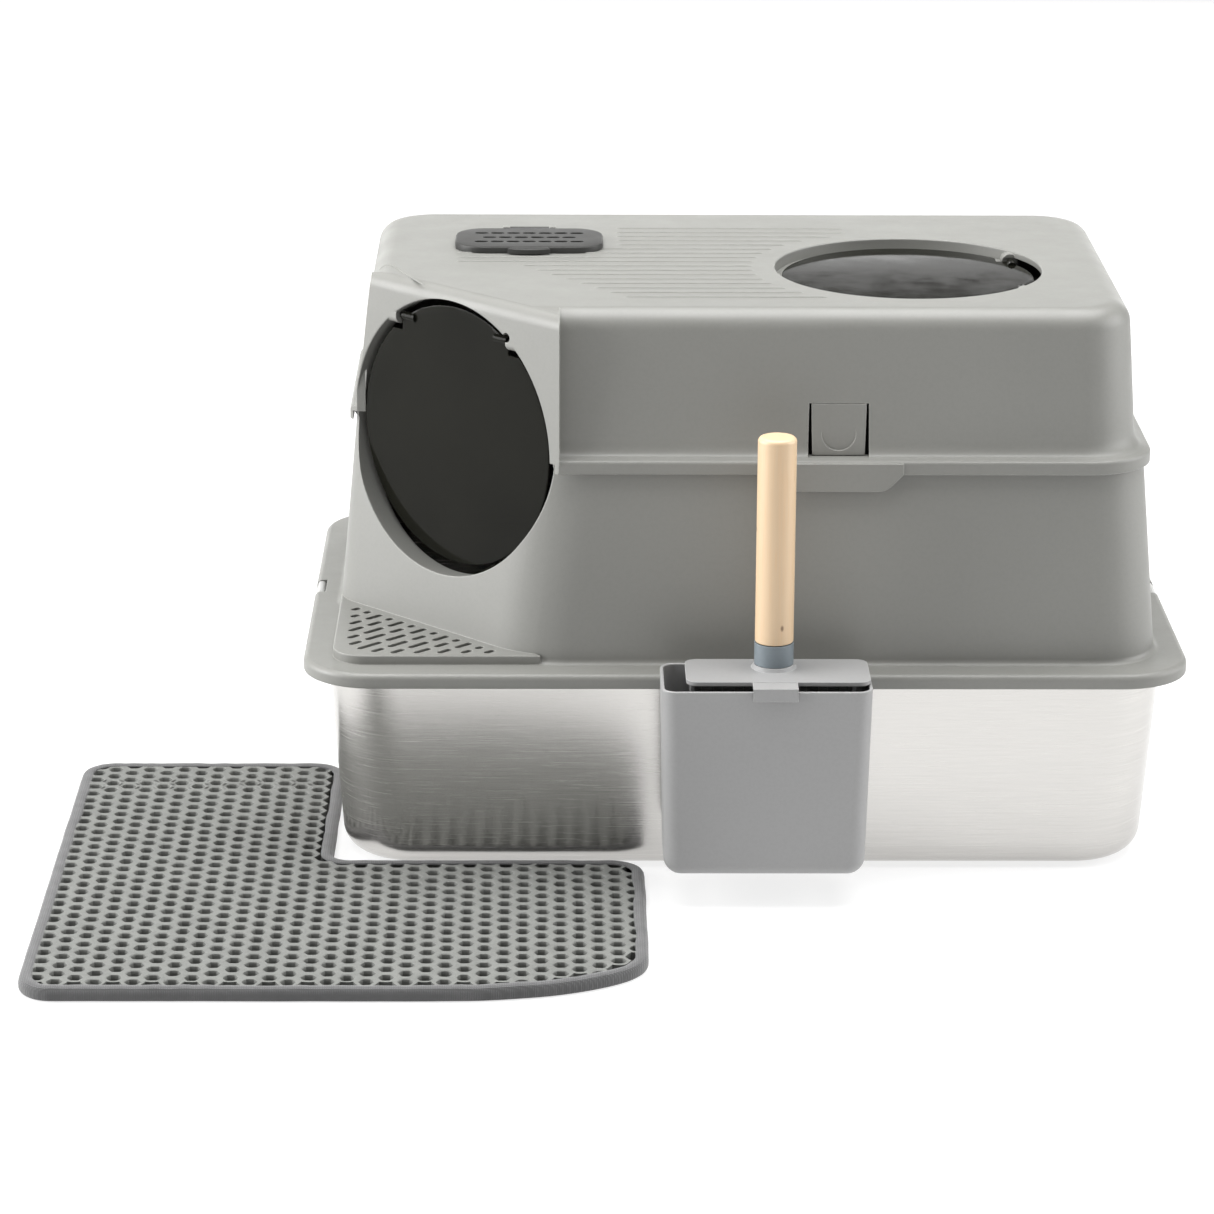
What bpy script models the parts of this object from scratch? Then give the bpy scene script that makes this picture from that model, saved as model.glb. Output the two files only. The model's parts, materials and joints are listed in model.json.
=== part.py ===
"""Hooded cat litter box: steel pan, clipped enclosure, lift-off hood, two swing flaps,
filter cover, scoop in its hanging holder, and an L-shaped litter mat.

Metres, +Z up, +X along the long side, the entry at the front left and the latch at the front (-Y).
The origin is the middle of the pan's underside, on the floor.
"""
import math

import bmesh
import bpy
from mathutils import Matrix, Vector

# ---- driving dimensions -------------------------------------------------------------------
GAP = 0.0003                    # running clearance between pieces that touch
PLASTIC = 0.0025                # wall of the moulded enclosure and hood
STEEL = 0.0015                  # wall of the pan
HEIGHT = 0.385                  # floor to the top of the hood
CORNER_STEPS = 6                # facets round each vertical corner

PAN_TOP = 0.1415
PAN_HALF = (0.2840, 0.1865)     # outside of the wall at the rim
PAN_FOOT = (0.2755, 0.1800)     # outside of the wall just above the bottom curve
PAN_CURVE = 0.018
PAN_RIM = (0.2910, 0.1930)
PAN_CORNER = 0.050

FLANGE_HALF = (0.3000, 0.1980)
FLANGE_TOP = 0.145
FLANGE_LIP = 0.135
FLANGE_CORNER = 0.048
WALL_FOOT = (0.2798, 0.1760)
SEAM = 0.283                    # where the hood sits on the enclosure
WALL_SEAM = (0.2675, 0.1685)
RIM_OUT = 0.0022                # rim that the hood rests on, outside the wall
WALL_CORNER = 0.044
CHAMFER_BLEND = (0.034, 0.070)  # radii between the entry chamfer and the left and front walls

TREAD_RISE = 0.0065             # corner platform above the flange
SLOT_PITCH = 0.01116            # between columns of the platform's drain slots
SLOT_COLUMNS = 6                # columns on each side of the middle one
SLOT_HALF_WIDTH = 0.0023
SLOT_MARGIN = 0.0052            # from the chamfer's foot to the nearest slots
SLOT_SPANS = (                  # start and end of each slot from there, for even and odd columns
    ((0.0, 0.0150), (0.0190, 0.0375), (0.0415, 0.0645)),
    ((0.0, 0.0068), (0.0108, 0.0236), (0.0276, 0.0460), (0.0498, 0.0612)),
)
SLOT_EDGE = (-0.2705, -0.1705)  # x and y that no slot crosses
SLOT_CORNER = -0.3000           # distance from the origin along the diagonal that no slot passes

CHAMFER_DRAFT = math.radians(7.8)    # lean of the enclosure's chamfer; the hood's panel is upright
ENTRY_CENTRE = Vector((-0.2006, -0.0997, SEAM))
ENTRY_RADIUS = 0.0950
COLLAR_WALL = 0.0022
COLLAR_LOW = 0.0180             # depth of the turned-in collar in the enclosure
COLLAR_HIGH = 0.0140            # and in the hood
COLLAR_OUT = 0.0200             # how far its blank stands out before it is trimmed to the face
BORE_REACH = 0.0300
PIVOT_HEIGHT = 0.0755           # pivot above the middle of either flap
FLAP_DEPTH = 0.0055             # of the entry flap's middle plane behind the hood's panel
FLAP_CLEAR = 0.0050             # from the flap's edge to its opening
FLAP_THICK = 0.002
FLAP_NOTCH = (-0.0100, 0.0128)  # below and above the pivot, where the disc clears its bearings
FLAP_BARREL = 0.0032            # radius of the barrels on the flap's pivot line
BARREL_INNER = 0.0100           # their inner ends, inward from the end of the pivot line
BARREL_OUTER = 0.0022           # their outer ends, outward from it
PIN_RADIUS = 0.0012
PIN_INNER = 0.0072
PIN_OUTER = 0.0120
BEARING_RADIUS = 0.0058
BEARING_START = 0.0045          # from the end of the pivot line to the bearing
BEARING_LENGTH = 0.0110

HOOD_LIP = (0.2722, 0.1732)
HOOD_LIP_BOTTOM = 0.277
LIP_CORNER = 0.0447             # outside corner radius of the hood's skirt
LIP_WALL = 0.0022
HOOD_WALL_LOW = (0.2612, 0.1615)
HOOD_WALL_TOP = (0.2565, 0.1565)
HOOD_FILLET = 0.015
WALL_LOW_Z = 0.302               # height at which the hood's straight wall starts
HOOD_CORNER = 0.040
BOSS_RIGHT = -0.1265            # the entry boss on the hood runs from its left end to here
BOSS_BACK = -0.0322
BOSS_LEFT = (                   # x of the boss's flared left side by height
    (0.2830, -0.2708), (0.2945, -0.2687), (0.3045, -0.2668), (0.3135, -0.2648),
    (0.3280, -0.2625), (0.3600, -0.2589), (0.3750, -0.2570), (0.3850, -0.2553),
)
BOSS_DROP = 0.0004              # of the boss's top below the hood's
BOSS_ROUND = 0.010              # round on the boss's top edge at its left end

EXIT_CENTRE = (0.114, -0.027)
EXIT_RADIUS = 0.092
EXIT_SINK = 0.0060              # top of the exit flap below the top of the hood
EXIT_DEPTH = 0.0125
LEDGE_RADIUS = 0.084

FILTER_CENTRE = (-0.148, 0.045)
COVER_SIZE = (0.104, 0.062)
COVER_RISE = 0.0048
TRAY_SIZE = (0.092, 0.050)
TRAY_DEPTH = 0.013

LATCH_X = 0.0595
LATCH_HALF = 0.0199             # half the width of the tongue's opening at its root
LATCH_ROOT = 0.3230
LATCH_END = 0.2882
LATCH_THICK = 0.0026
LATCH_SLIT = 0.0015             # width of the slit beside the tongue at its root
LATCH_TAPER = 0.0009            # each side of the tongue narrows by this toward its end
APRON_HALF = 0.043
APRON_DROP = 0.0110
APRON_CORNER = 0.012

CLIP_Y = 0.004
CLIP_HALF = 0.0145

HOLDER_X = 0.010
HOLDER_HALF_TOP = 0.0695
HOLDER_HALF_LOW = 0.0672
HOLDER_BACK = -0.1995
HOLDER_DEPTH = 0.0625
HOLDER_TOP = 0.1545
HOLDER_LOW = 0.0225
HOLDER_WALL = 0.0022

SCOOP_X = 0.0158
SCOOP_Y = -0.2180
SCOOP_PLATE = (-0.0430, 0.0785)
SCOOP_PLATE_Y = (-0.2515, -0.2025)
SCOOP_PLATE_Z = (0.1550, 0.1580)
BLADE_X = (-0.0400, 0.0690)
BLADE_LOW = 0.0450
HANDLE_RADIUS = 0.0128
FERRULE_TOP = 0.1755
HANDLE_TOP = 0.3160

MAT_OUTER = (-0.4700, -0.4150, -0.0680, 0.0120)     # left, front, right, back
MAT_INNER = (-0.2800, -0.1840)                      # x of the left arm's edge, y of the front arm's
MAT_THICK = 0.0090
MAT_BINDING = 0.0080
MAT_CORNER = 0.024
MAT_WORN = (0.130, 0.060)       # half axes of the worn corner at the front right

PLASTIC_GREY = (0.226, 0.226, 0.208)
LIGHT_GREY = (0.300, 0.300, 0.300)
CHARCOAL = (0.105, 0.105, 0.100)
TINTED = (0.024, 0.024, 0.021)


# ---- scene and mesh helpers ---------------------------------------------------------------
def clear_scene():
    for obj in list(bpy.data.objects):
        bpy.data.objects.remove(obj, do_unlink=True)


def material(name, colour, roughness, metallic=0.0):
    made = bpy.data.materials.new(name)
    made.use_nodes = True
    shader = made.node_tree.nodes["Principled BSDF"]
    shader.inputs["Base Color"].default_value = (*colour, 1.0)
    shader.inputs["Roughness"].default_value = roughness
    shader.inputs["Metallic"].default_value = metallic
    return made


def add_object(name, bm, skin=None, smooth=True, origin=(0.0, 0.0, 0.0)):
    """Turn a bmesh in world place into an object whose origin is at the given point."""
    bmesh.ops.recalc_face_normals(bm, faces=bm.faces)
    bmesh.ops.translate(bm, verts=bm.verts, vec=-Vector(origin))
    mesh = bpy.data.meshes.new(name)
    bm.to_mesh(mesh)
    bm.free()
    obj = bpy.data.objects.new(name, mesh)
    obj.location = origin
    bpy.context.collection.objects.link(obj)
    if smooth:
        mesh.shade_smooth()
        mesh.set_sharp_from_angle(angle=math.radians(32))
    if skin:
        mesh.materials.append(skin)
    return obj


def combine(target, tool, operation):
    """Apply one exact boolean to target and drop the tool."""
    bpy.context.view_layer.update()
    step = target.modifiers.new(operation.title(), "BOOLEAN")
    step.operation = operation
    step.solver = "EXACT"
    step.object = tool
    bpy.context.view_layer.update()
    graph = bpy.context.evaluated_depsgraph_get()
    result = bpy.data.meshes.new_from_object(target.evaluated_get(graph))
    target.modifiers.clear()
    target.data = result
    bpy.data.objects.remove(tool, do_unlink=True)
    return target


def subtract(target, *tools):
    for tool in tools:
        combine(target, tool, "DIFFERENCE")
    return target


def join(target, *tools):
    for tool in tools:
        combine(target, tool, "UNION")
    return target


def finish(obj, skin, origin=(0.0, 0.0, 0.0)):
    """Clean a boolean result, put its origin on its joint and give it one material."""
    bm = bmesh.new()
    bm.from_mesh(obj.data)
    bmesh.ops.transform(bm, matrix=obj.matrix_world, verts=bm.verts)
    bmesh.ops.remove_doubles(bm, verts=bm.verts, dist=0.00002)
    bmesh.ops.dissolve_limit(bm, angle_limit=math.radians(0.4), verts=bm.verts, edges=bm.edges)
    bmesh.ops.triangulate(bm, faces=[face for face in bm.faces if len(face.verts) > 4])
    name = obj.name
    bpy.data.objects.remove(obj, do_unlink=True)
    return add_object(name, bm, skin, origin=origin)


def loft(rings, closed=False):
    """Skin a stack of rings that hold the same number of points; cap it unless it closes on itself."""
    bm = bmesh.new()
    rows = [[bm.verts.new(point) for point in ring] for ring in rings]
    pairs = list(zip(rows, rows[1:]))
    if closed:
        pairs.append((rows[-1], rows[0]))
    for low, high in pairs:
        for index in range(len(low)):
            after = (index + 1) % len(low)
            bm.faces.new((low[index], low[after], high[after], high[index]))
    if not closed:
        bm.faces.new(rows[0])
        bm.faces.new(rows[-1])
    return bm


def arc(centre, radius, start, end, steps):
    """Points of a plan arc from one angle to another, both ends included."""
    angles = [start + (end - start) * step / steps for step in range(steps + 1)]
    return [(centre[0] + radius * math.cos(a), centre[1] + radius * math.sin(a)) for a in angles]


def rounded_box(half, corner, z, centre=(0.0, 0.0), split=False):
    """Plan ring, anticlockwise; split gives the front-left corner twice the points."""
    quarter = math.pi / 2
    points = []
    for turn, (sx, sy) in enumerate(((1, -1), (1, 1), (-1, 1), (-1, -1))):
        middle = (centre[0] + sx * (half[0] - corner), centre[1] + sy * (half[1] - corner))
        start = -quarter + turn * quarter
        steps = CORNER_STEPS * 2 + 1 if split and turn == 3 else CORNER_STEPS
        points += arc(middle, corner, start, start + quarter, steps)
    return [Vector((x, y, z)) for x, y in points]


def box(low, high, name="tool"):
    bm = bmesh.new()
    bmesh.ops.create_cube(bm, size=1.0)
    size = Vector(high) - Vector(low)
    bmesh.ops.scale(bm, vec=size, verts=bm.verts)
    bmesh.ops.translate(bm, vec=(Vector(low) + Vector(high)) / 2, verts=bm.verts)
    return add_object(name, bm, smooth=False)


def cylinder(radius, start, end, sides=24, name="tool", tip=None):
    """Round bar between two points, with an optional different radius at its end."""
    axis = Vector(end) - Vector(start)
    bm = bmesh.new()
    bmesh.ops.create_cone(bm, cap_ends=True, segments=sides, radius1=radius,
                          radius2=radius if tip is None else tip, depth=axis.length)
    turn = axis.to_track_quat("Z", "Y").to_matrix().to_4x4()
    place = Matrix.Translation((Vector(start) + Vector(end)) / 2) @ turn
    bmesh.ops.transform(bm, matrix=place, verts=bm.verts)
    return add_object(name, bm)


def prism(outline, low, high, name="tool"):
    """Upright solid on a plan outline."""
    return add_object(name, loft([[Vector((x, y, low)) for x, y in outline],
                                  [Vector((x, y, high)) for x, y in outline]]))


def stadium(centre, half_length, half_width, angle, steps=3):
    """Plan outline of a round-ended slot."""
    along = Vector((math.cos(angle), math.sin(angle)))
    points = []
    for side in (1, -1):
        end = Vector(centre) + along * half_length * side
        start = angle - math.pi / 2 if side == 1 else angle + math.pi / 2
        points += arc(end, half_width, start, start + math.pi, steps)
    return points


# ---- the entry's own directions -----------------------------------------------------------
UP = Vector((0.0, 0.0, 1.0))
ACROSS = Vector((1.0, -1.0, 0.0)).normalized()
FACING = Vector((-1.0, -1.0, 0.0)).normalized()
CHAMFER_OUT = FACING * math.cos(CHAMFER_DRAFT) + UP * math.sin(CHAMFER_DRAFT)


def chamfer_sum(z, inset=0.0):
    """x + y of the chamfer line at a height, moved inward by the given distance."""
    centre_sum = ENTRY_CENTRE.x + ENTRY_CENTRE.y
    return centre_sum + math.sqrt(2) * (math.tan(CHAMFER_DRAFT) * min(z - SEAM, 0.0) + inset)


def chamfered_box(half, corner, z, inset=0.0):
    """Plan ring with the entry chamfer across its front-left corner."""
    total = chamfer_sum(z, inset)
    ring = rounded_box(half, corner, z)[:3 * (CORNER_STEPS + 1)]
    left_blend, front_blend = CHAMFER_BLEND
    share = math.tan(math.pi / 8)
    left = (-half[0] + left_blend, total + half[0] + left_blend * share)
    front = (total + half[1] + front_blend * share, -half[1] + front_blend)
    turns = arc(left, left_blend, math.pi, math.pi * 1.25, CORNER_STEPS)
    turns += arc(front, front_blend, math.pi * 1.25, math.pi * 1.5, CORNER_STEPS)
    return ring + [Vector((x, y, z)) for x, y in turns]


def behind_panel(inset, name="tool"):
    """Large block whose face lies on the hood's upright entry panel, moved inward by inset."""
    reach = 1.5
    bm = bmesh.new()
    bmesh.ops.create_cube(bm, size=reach)
    turn = Matrix((ACROSS, UP, FACING)).transposed().to_4x4()
    centre = ENTRY_CENTRE - FACING * (inset + reach / 2)
    bmesh.ops.transform(bm, matrix=Matrix.Translation(centre) @ turn, verts=bm.verts)
    return add_object(name, bm, smooth=False)


def entry_bar(radius, facing, outside, inside, sides=56):
    """Round bar through the entry, square to one of its two faces."""
    return cylinder(radius, ENTRY_CENTRE - facing * inside, ENTRY_CENTRE + facing * outside, sides)


# ---- pan ----------------------------------------------------------------------------------
def make_pan():
    def ring(inset, z, corner):
        share = min(max((z - PAN_CURVE) / (PAN_TOP - PAN_CURVE), 0.0), 1.0)
        half = [foot + (top - foot) * share - inset for foot, top in zip(PAN_FOOT, PAN_HALF)]
        return rounded_box(half, corner - inset, z)

    def curve(wall):
        radius = PAN_CURVE - wall
        turns = [math.pi / 2 * step / 4 for step in range(5)]
        return [ring(wall + radius * (1 - math.sin(a)), wall + radius * (1 - math.cos(a)), PAN_CORNER)
                for a in turns]

    rim_low = PAN_TOP - 0.006
    outside = curve(0.0)
    outside.append(ring(0.0, PAN_TOP - 0.0045, PAN_CORNER))
    outside.append(rounded_box([h - STEEL - 0.001 for h in PAN_RIM], 0.055, PAN_TOP - STEEL))
    outside.append(rounded_box([h - STEEL for h in PAN_RIM], 0.056, rim_low))
    outside.append(rounded_box(PAN_RIM, 0.0575, rim_low))
    outside.append(rounded_box(PAN_RIM, 0.0575, PAN_TOP - 0.0015))
    outside.append(rounded_box([h - 0.0015 for h in PAN_RIM], 0.056, PAN_TOP))
    inside = [ring(STEEL - 0.0018, PAN_TOP, PAN_CORNER + 0.0005)]
    inside.append(ring(STEEL, PAN_TOP - 0.0025, PAN_CORNER))
    inside += reversed(curve(STEEL))
    skin = material("brushed stainless", (0.62, 0.60, 0.58), 0.32, 1.0)
    return add_object("stainless_pan", loft(outside + inside), skin)


# ---- enclosure ----------------------------------------------------------------------------
def tread_outline(inset=0.0):
    """Corner platform in front of the chamfer: a triangle with one round corner."""
    left = -WALL_FOOT[0] + inset
    front = -WALL_FOOT[1] + inset
    radius = 0.022 - inset
    total = chamfer_sum(FLANGE_TOP) - inset * math.sqrt(2)
    back = 0.0 if inset else 0.012
    points = arc((left + radius, front + radius), radius, math.pi, math.pi * 1.5, 6)
    points += [(total - front + back, front), (left, total - left + back)]
    return points


def tread_slots():
    """Drain slots square to the entry panel, in columns that break joint and stop at the platform's edges."""
    start = chamfer_sum(FLANGE_TOP) / math.sqrt(2) - SLOT_MARGIN
    middle = (ENTRY_CENTRE.x - ENTRY_CENTRE.y) / math.sqrt(2)
    made = []
    for column in range(-SLOT_COLUMNS, SLOT_COLUMNS + 1):
        across = middle + column * SLOT_PITCH
        edge = max(SLOT_EDGE[1] * math.sqrt(2) + across, SLOT_EDGE[0] * math.sqrt(2) - across, SLOT_CORNER)
        for near, far in SLOT_SPANS[column % 2]:
            high = start - near
            low = max(start - far, edge)
            if high - low > 2 * SLOT_HALF_WIDTH:
                along = (high + low) / 2
                centre = ((along + across) / math.sqrt(2), (along - across) / math.sqrt(2))
                outline = stadium(centre, (high - low) / 2 - SLOT_HALF_WIDTH, SLOT_HALF_WIDTH, math.pi / 4, 2)
                made.append(prism(outline, FLANGE_TOP, FLANGE_TOP + TREAD_RISE + 0.006))
    return made


def flange_ring(half, corner, z):
    return rounded_box(half, corner, z, split=True)


def clip_notch(side):
    low = (side * 0.2925, CLIP_Y - CLIP_HALF, FLANGE_LIP - 0.010)
    high = (side * 0.3100, CLIP_Y + CLIP_HALF, FLANGE_TOP + 0.010)
    return box((min(low[0], high[0]), low[1], low[2]), (max(low[0], high[0]), high[1], high[2]))


CLIP_AXIS = (0.2963, 0.1412)    # distance from the middle, height


def clip_bearing(side, end):
    """Block inside the flange's lip that holds one end of a clip's pin."""
    near = CLIP_Y + end * (CLIP_HALF + GAP)
    far = CLIP_Y + end * (CLIP_HALF + 0.006)
    x = sorted((side * 0.2922, side * 0.2985))
    y = sorted((near, far))
    return box((x[0], y[0], 0.1375), (x[1], y[1], FLANGE_TOP - 0.001))


def make_enclosure():
    lip = FLANGE_HALF
    outer = [
        flange_ring([h - 0.0007 for h in lip], FLANGE_CORNER - 0.0007, FLANGE_LIP),
        flange_ring(lip, FLANGE_CORNER, FLANGE_LIP + 0.0008),
        flange_ring(lip, FLANGE_CORNER, FLANGE_TOP - 0.0040),
        flange_ring([h - 0.0012 for h in lip], FLANGE_CORNER - 0.0012, FLANGE_TOP - 0.0012),
        flange_ring([h - 0.0040 for h in lip], FLANGE_CORNER - 0.0040, FLANGE_TOP),
        chamfered_box([h + 0.0040 for h in WALL_FOOT], WALL_CORNER + 0.004, FLANGE_TOP, -0.004),
        chamfered_box([h + 0.0010 for h in WALL_FOOT], WALL_CORNER + 0.001, FLANGE_TOP + 0.0012, -0.001),
        chamfered_box([h - 0.0003 for h in WALL_FOOT], WALL_CORNER, FLANGE_TOP + 0.0040),
        chamfered_box([h + 0.0003 for h in WALL_SEAM], WALL_CORNER - 0.004, SEAM - 0.0045),
        chamfered_box([h + RIM_OUT for h in WALL_SEAM], LIP_CORNER - LIP_WALL - GAP, SEAM - 0.0025),
        chamfered_box([h + RIM_OUT for h in WALL_SEAM], LIP_CORNER - LIP_WALL - GAP, SEAM),
    ]
    wall = PLASTIC
    inner = [
        flange_ring([h - 0.003 for h in lip], FLANGE_CORNER - 0.003, FLANGE_LIP - 0.010),
        flange_ring([h - 0.003 for h in lip], FLANGE_CORNER - 0.003, FLANGE_TOP - 0.003),
        chamfered_box([h - wall for h in WALL_FOOT], WALL_CORNER - wall, FLANGE_TOP - 0.003, wall),
        chamfered_box([h - wall for h in WALL_SEAM], WALL_CORNER - wall, SEAM + 0.010, wall),
    ]
    shell = add_object("lower_enclosure", loft(outer))
    tread = prism(tread_outline(), FLANGE_TOP - 0.001, FLANGE_TOP + TREAD_RISE)
    join(shell, tread)
    hollow = add_object("hollow", loft(inner))
    collar = entry_bar(ENTRY_RADIUS + COLLAR_WALL, CHAMFER_OUT, COLLAR_OUT, COLLAR_LOW)
    subtract(collar, box((-0.5, -0.5, SEAM - 0.0004), (0.5, 0.5, 0.6)))
    subtract(hollow, collar)
    subtract(shell, hollow, entry_bar(ENTRY_RADIUS, CHAMFER_OUT, BORE_REACH, BORE_REACH))
    under = prism(tread_outline(0.0028), FLANGE_TOP - 0.006, FLANGE_TOP + TREAD_RISE - PLASTIC)
    subtract(shell, under)
    for slot in tread_slots():
        subtract(shell, slot)
    for side in (-1, 1):
        for end in (-1, 1):
            join(shell, clip_bearing(side, end))
        subtract(shell, clip_notch(side))
        x = side * CLIP_AXIS[0]
        reach = CLIP_HALF + 0.0045
        subtract(shell, cylinder(0.0016, (x, CLIP_Y - reach, CLIP_AXIS[1]), (x, CLIP_Y + reach, CLIP_AXIS[1]), 10))
    return finish(shell, material("enclosure grey", PLASTIC_GREY, 0.52))


def make_rim_clip(side, word):
    """Clip that swings out from the flange, with its hook under the pan's rolled rim."""
    x = side * CLIP_AXIS[0]
    near = CLIP_Y - CLIP_HALF + 0.0006
    far = CLIP_Y + CLIP_HALF - 0.0006
    axis = (x, CLIP_Y, CLIP_AXIS[1])
    barrel = cylinder(0.0030, (x, near, CLIP_AXIS[1]), (x, far, CLIP_AXIS[1]), 16, "rim_clip_" + word)
    plate_x = sorted((side * 0.2970, side * 0.2993))
    hook_x = sorted((side * 0.2885, side * 0.2985))
    join(barrel, box((plate_x[0], near + 0.0005, 0.1285), (plate_x[1], far - 0.0005, CLIP_AXIS[1])))
    join(barrel, box((hook_x[0], near + 0.0010, 0.1290), (hook_x[1], far - 0.0010, 0.1315)))
    subtract(barrel, cylinder(0.0013, (x, near - 0.01, CLIP_AXIS[1]), (x, far + 0.01, CLIP_AXIS[1]), 10))
    clip = finish(barrel, material("clip grey " + word, LIGHT_GREY, 0.45), axis)
    reach = CLIP_HALF + 0.0042
    pin = cylinder(0.0010, (x, CLIP_Y - reach, CLIP_AXIS[1]), (x, CLIP_Y + reach, CLIP_AXIS[1]), 10,
                   "rim_clip_pin_" + word)
    pin.data.materials.append(material("clip pin " + word, (0.5, 0.5, 0.5), 0.35, 1.0))
    return clip


# ---- hood ---------------------------------------------------------------------------------
def hood_rings(inset, bottom):
    """Rings of the hood's body above the seam, moved inward by inset."""
    rings = []
    low = [h - inset for h in HOOD_WALL_LOW]
    top = [h - inset for h in HOOD_WALL_TOP]
    fillet = HOOD_FILLET - inset
    spring = HEIGHT - HOOD_FILLET
    corner = HOOD_CORNER - inset
    rings.append(rounded_box(low, corner, bottom))
    rings.append(rounded_box(top, corner - 0.001, spring))
    for step in range(1, 6):
        angle = math.pi / 2 * step / 5
        back = fillet * (1 - math.cos(angle))
        half = [h - back for h in top]
        rings.append(rounded_box(half, corner - 0.001 - back, spring + fillet * math.sin(angle)))
    return rings


def boss_left(z):
    """x of the boss's left side at a height."""
    for (low, start), (high, end) in zip(BOSS_LEFT, BOSS_LEFT[1:]):
        if z <= high:
            return start + (end - start) * max(z - low, 0.0) / (high - low)
    return BOSS_LEFT[-1][1]


def entry_boss(inset, bottom):
    """Raised corner block that carries the entry panel, flared at its left and rounded along its back."""
    top = HEIGHT - BOSS_DROP - inset
    back = BOSS_BACK - inset
    front = -0.200
    radius = BOSS_ROUND - inset
    levels = [(bottom, back)]
    levels += [(z, back) for z, x in BOSS_LEFT if bottom + 0.002 < z < top - radius - 0.002]
    levels += [(z, y) for y, z in arc((back - radius, top - radius), radius, 0.0, math.pi / 2, 5)]
    right = BOSS_RIGHT - inset
    rings = []
    for z, y in levels:
        left = boss_left(z) + inset
        rings.append([Vector(point) for point in ((left, front, z), (right, front, z), (right, y, z), (left, y, z))])
    return add_object("tool", loft(rings))


def pivot_reach(radius):
    """Half the length of a flap's pivot chord inside an opening of the given radius."""
    return math.sqrt((radius - FLAP_CLEAR) ** 2 - PIVOT_HEIGHT ** 2)


def latch_slot(side):
    """Opening for the spring tongue in the hood's wall: narrow at the root, wide at the free end."""
    y = sorted((side * 0.1500, side * 0.1750))
    points = []
    for z, half in ((LATCH_END - 0.0006, LATCH_HALF + 0.0005), (LATCH_ROOT, LATCH_HALF)):
        points.append([Vector((LATCH_X + sx * half, sy, z)) for sx, sy in
                       ((-1, y[0]), (1, y[0]), (1, y[1]), (-1, y[1]))])
    return add_object("tool", loft(points), smooth=False)


def latch_apron(side):
    """Finger lip that drops below the hood's skirt at the latch, with sloping ends and round corners."""
    top = SEAM + 0.002
    low = HOOD_LIP_BOTTOM - APRON_DROP
    slope = APRON_CORNER * math.tan(math.pi / 8)
    shoulder = HOOD_LIP_BOTTOM + 0.0005
    foot = APRON_HALF - (shoulder - low) - slope
    outline = [(LATCH_X - APRON_HALF, top), (LATCH_X - APRON_HALF, shoulder)]
    outline += arc((LATCH_X - foot, low + APRON_CORNER), APRON_CORNER, math.pi * 1.25, math.pi * 1.5, 4)
    outline += arc((LATCH_X + foot, low + APRON_CORNER), APRON_CORNER, math.pi * 1.5, math.pi * 1.75, 4)
    outline += [(LATCH_X + APRON_HALF, shoulder), (LATCH_X + APRON_HALF, top)]
    inside = side * (WALL_SEAM[1] + 0.0043)
    outside = side * (HOOD_LIP[1] + 0.0012)
    return add_object("tool", loft([[Vector((x, inside, z)) for x, z in outline],
                                    [Vector((x, outside, z)) for x, z in outline]]))


def exit_cup():
    """Collar and ledge that hang below the exit hole, as one solid ring."""
    x, y = EXIT_CENTRE
    low = HEIGHT - EXIT_DEPTH
    return cylinder(EXIT_RADIUS + 0.0025, (x, y, low), (x, y, HEIGHT - 0.001), 56)


def ledge_gap():
    """Removes the ledge behind the pivot, where the flap's tail swings down."""
    x, y = EXIT_CENTRE
    start = x + PIVOT_HEIGHT - 0.010
    return box((start, y - 0.049, HEIGHT - EXIT_DEPTH - 0.010), (start + 0.030, y + 0.049, HEIGHT - 0.004))


def bearing(pivot, side):
    """Round boss that takes the end of a flap's pin, just outside the flap's edge."""
    middle, along, reach = pivot
    start = middle + along * side * (reach + BEARING_START)
    return cylinder(BEARING_RADIUS, start, start + along * side * BEARING_LENGTH, 16)


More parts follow.
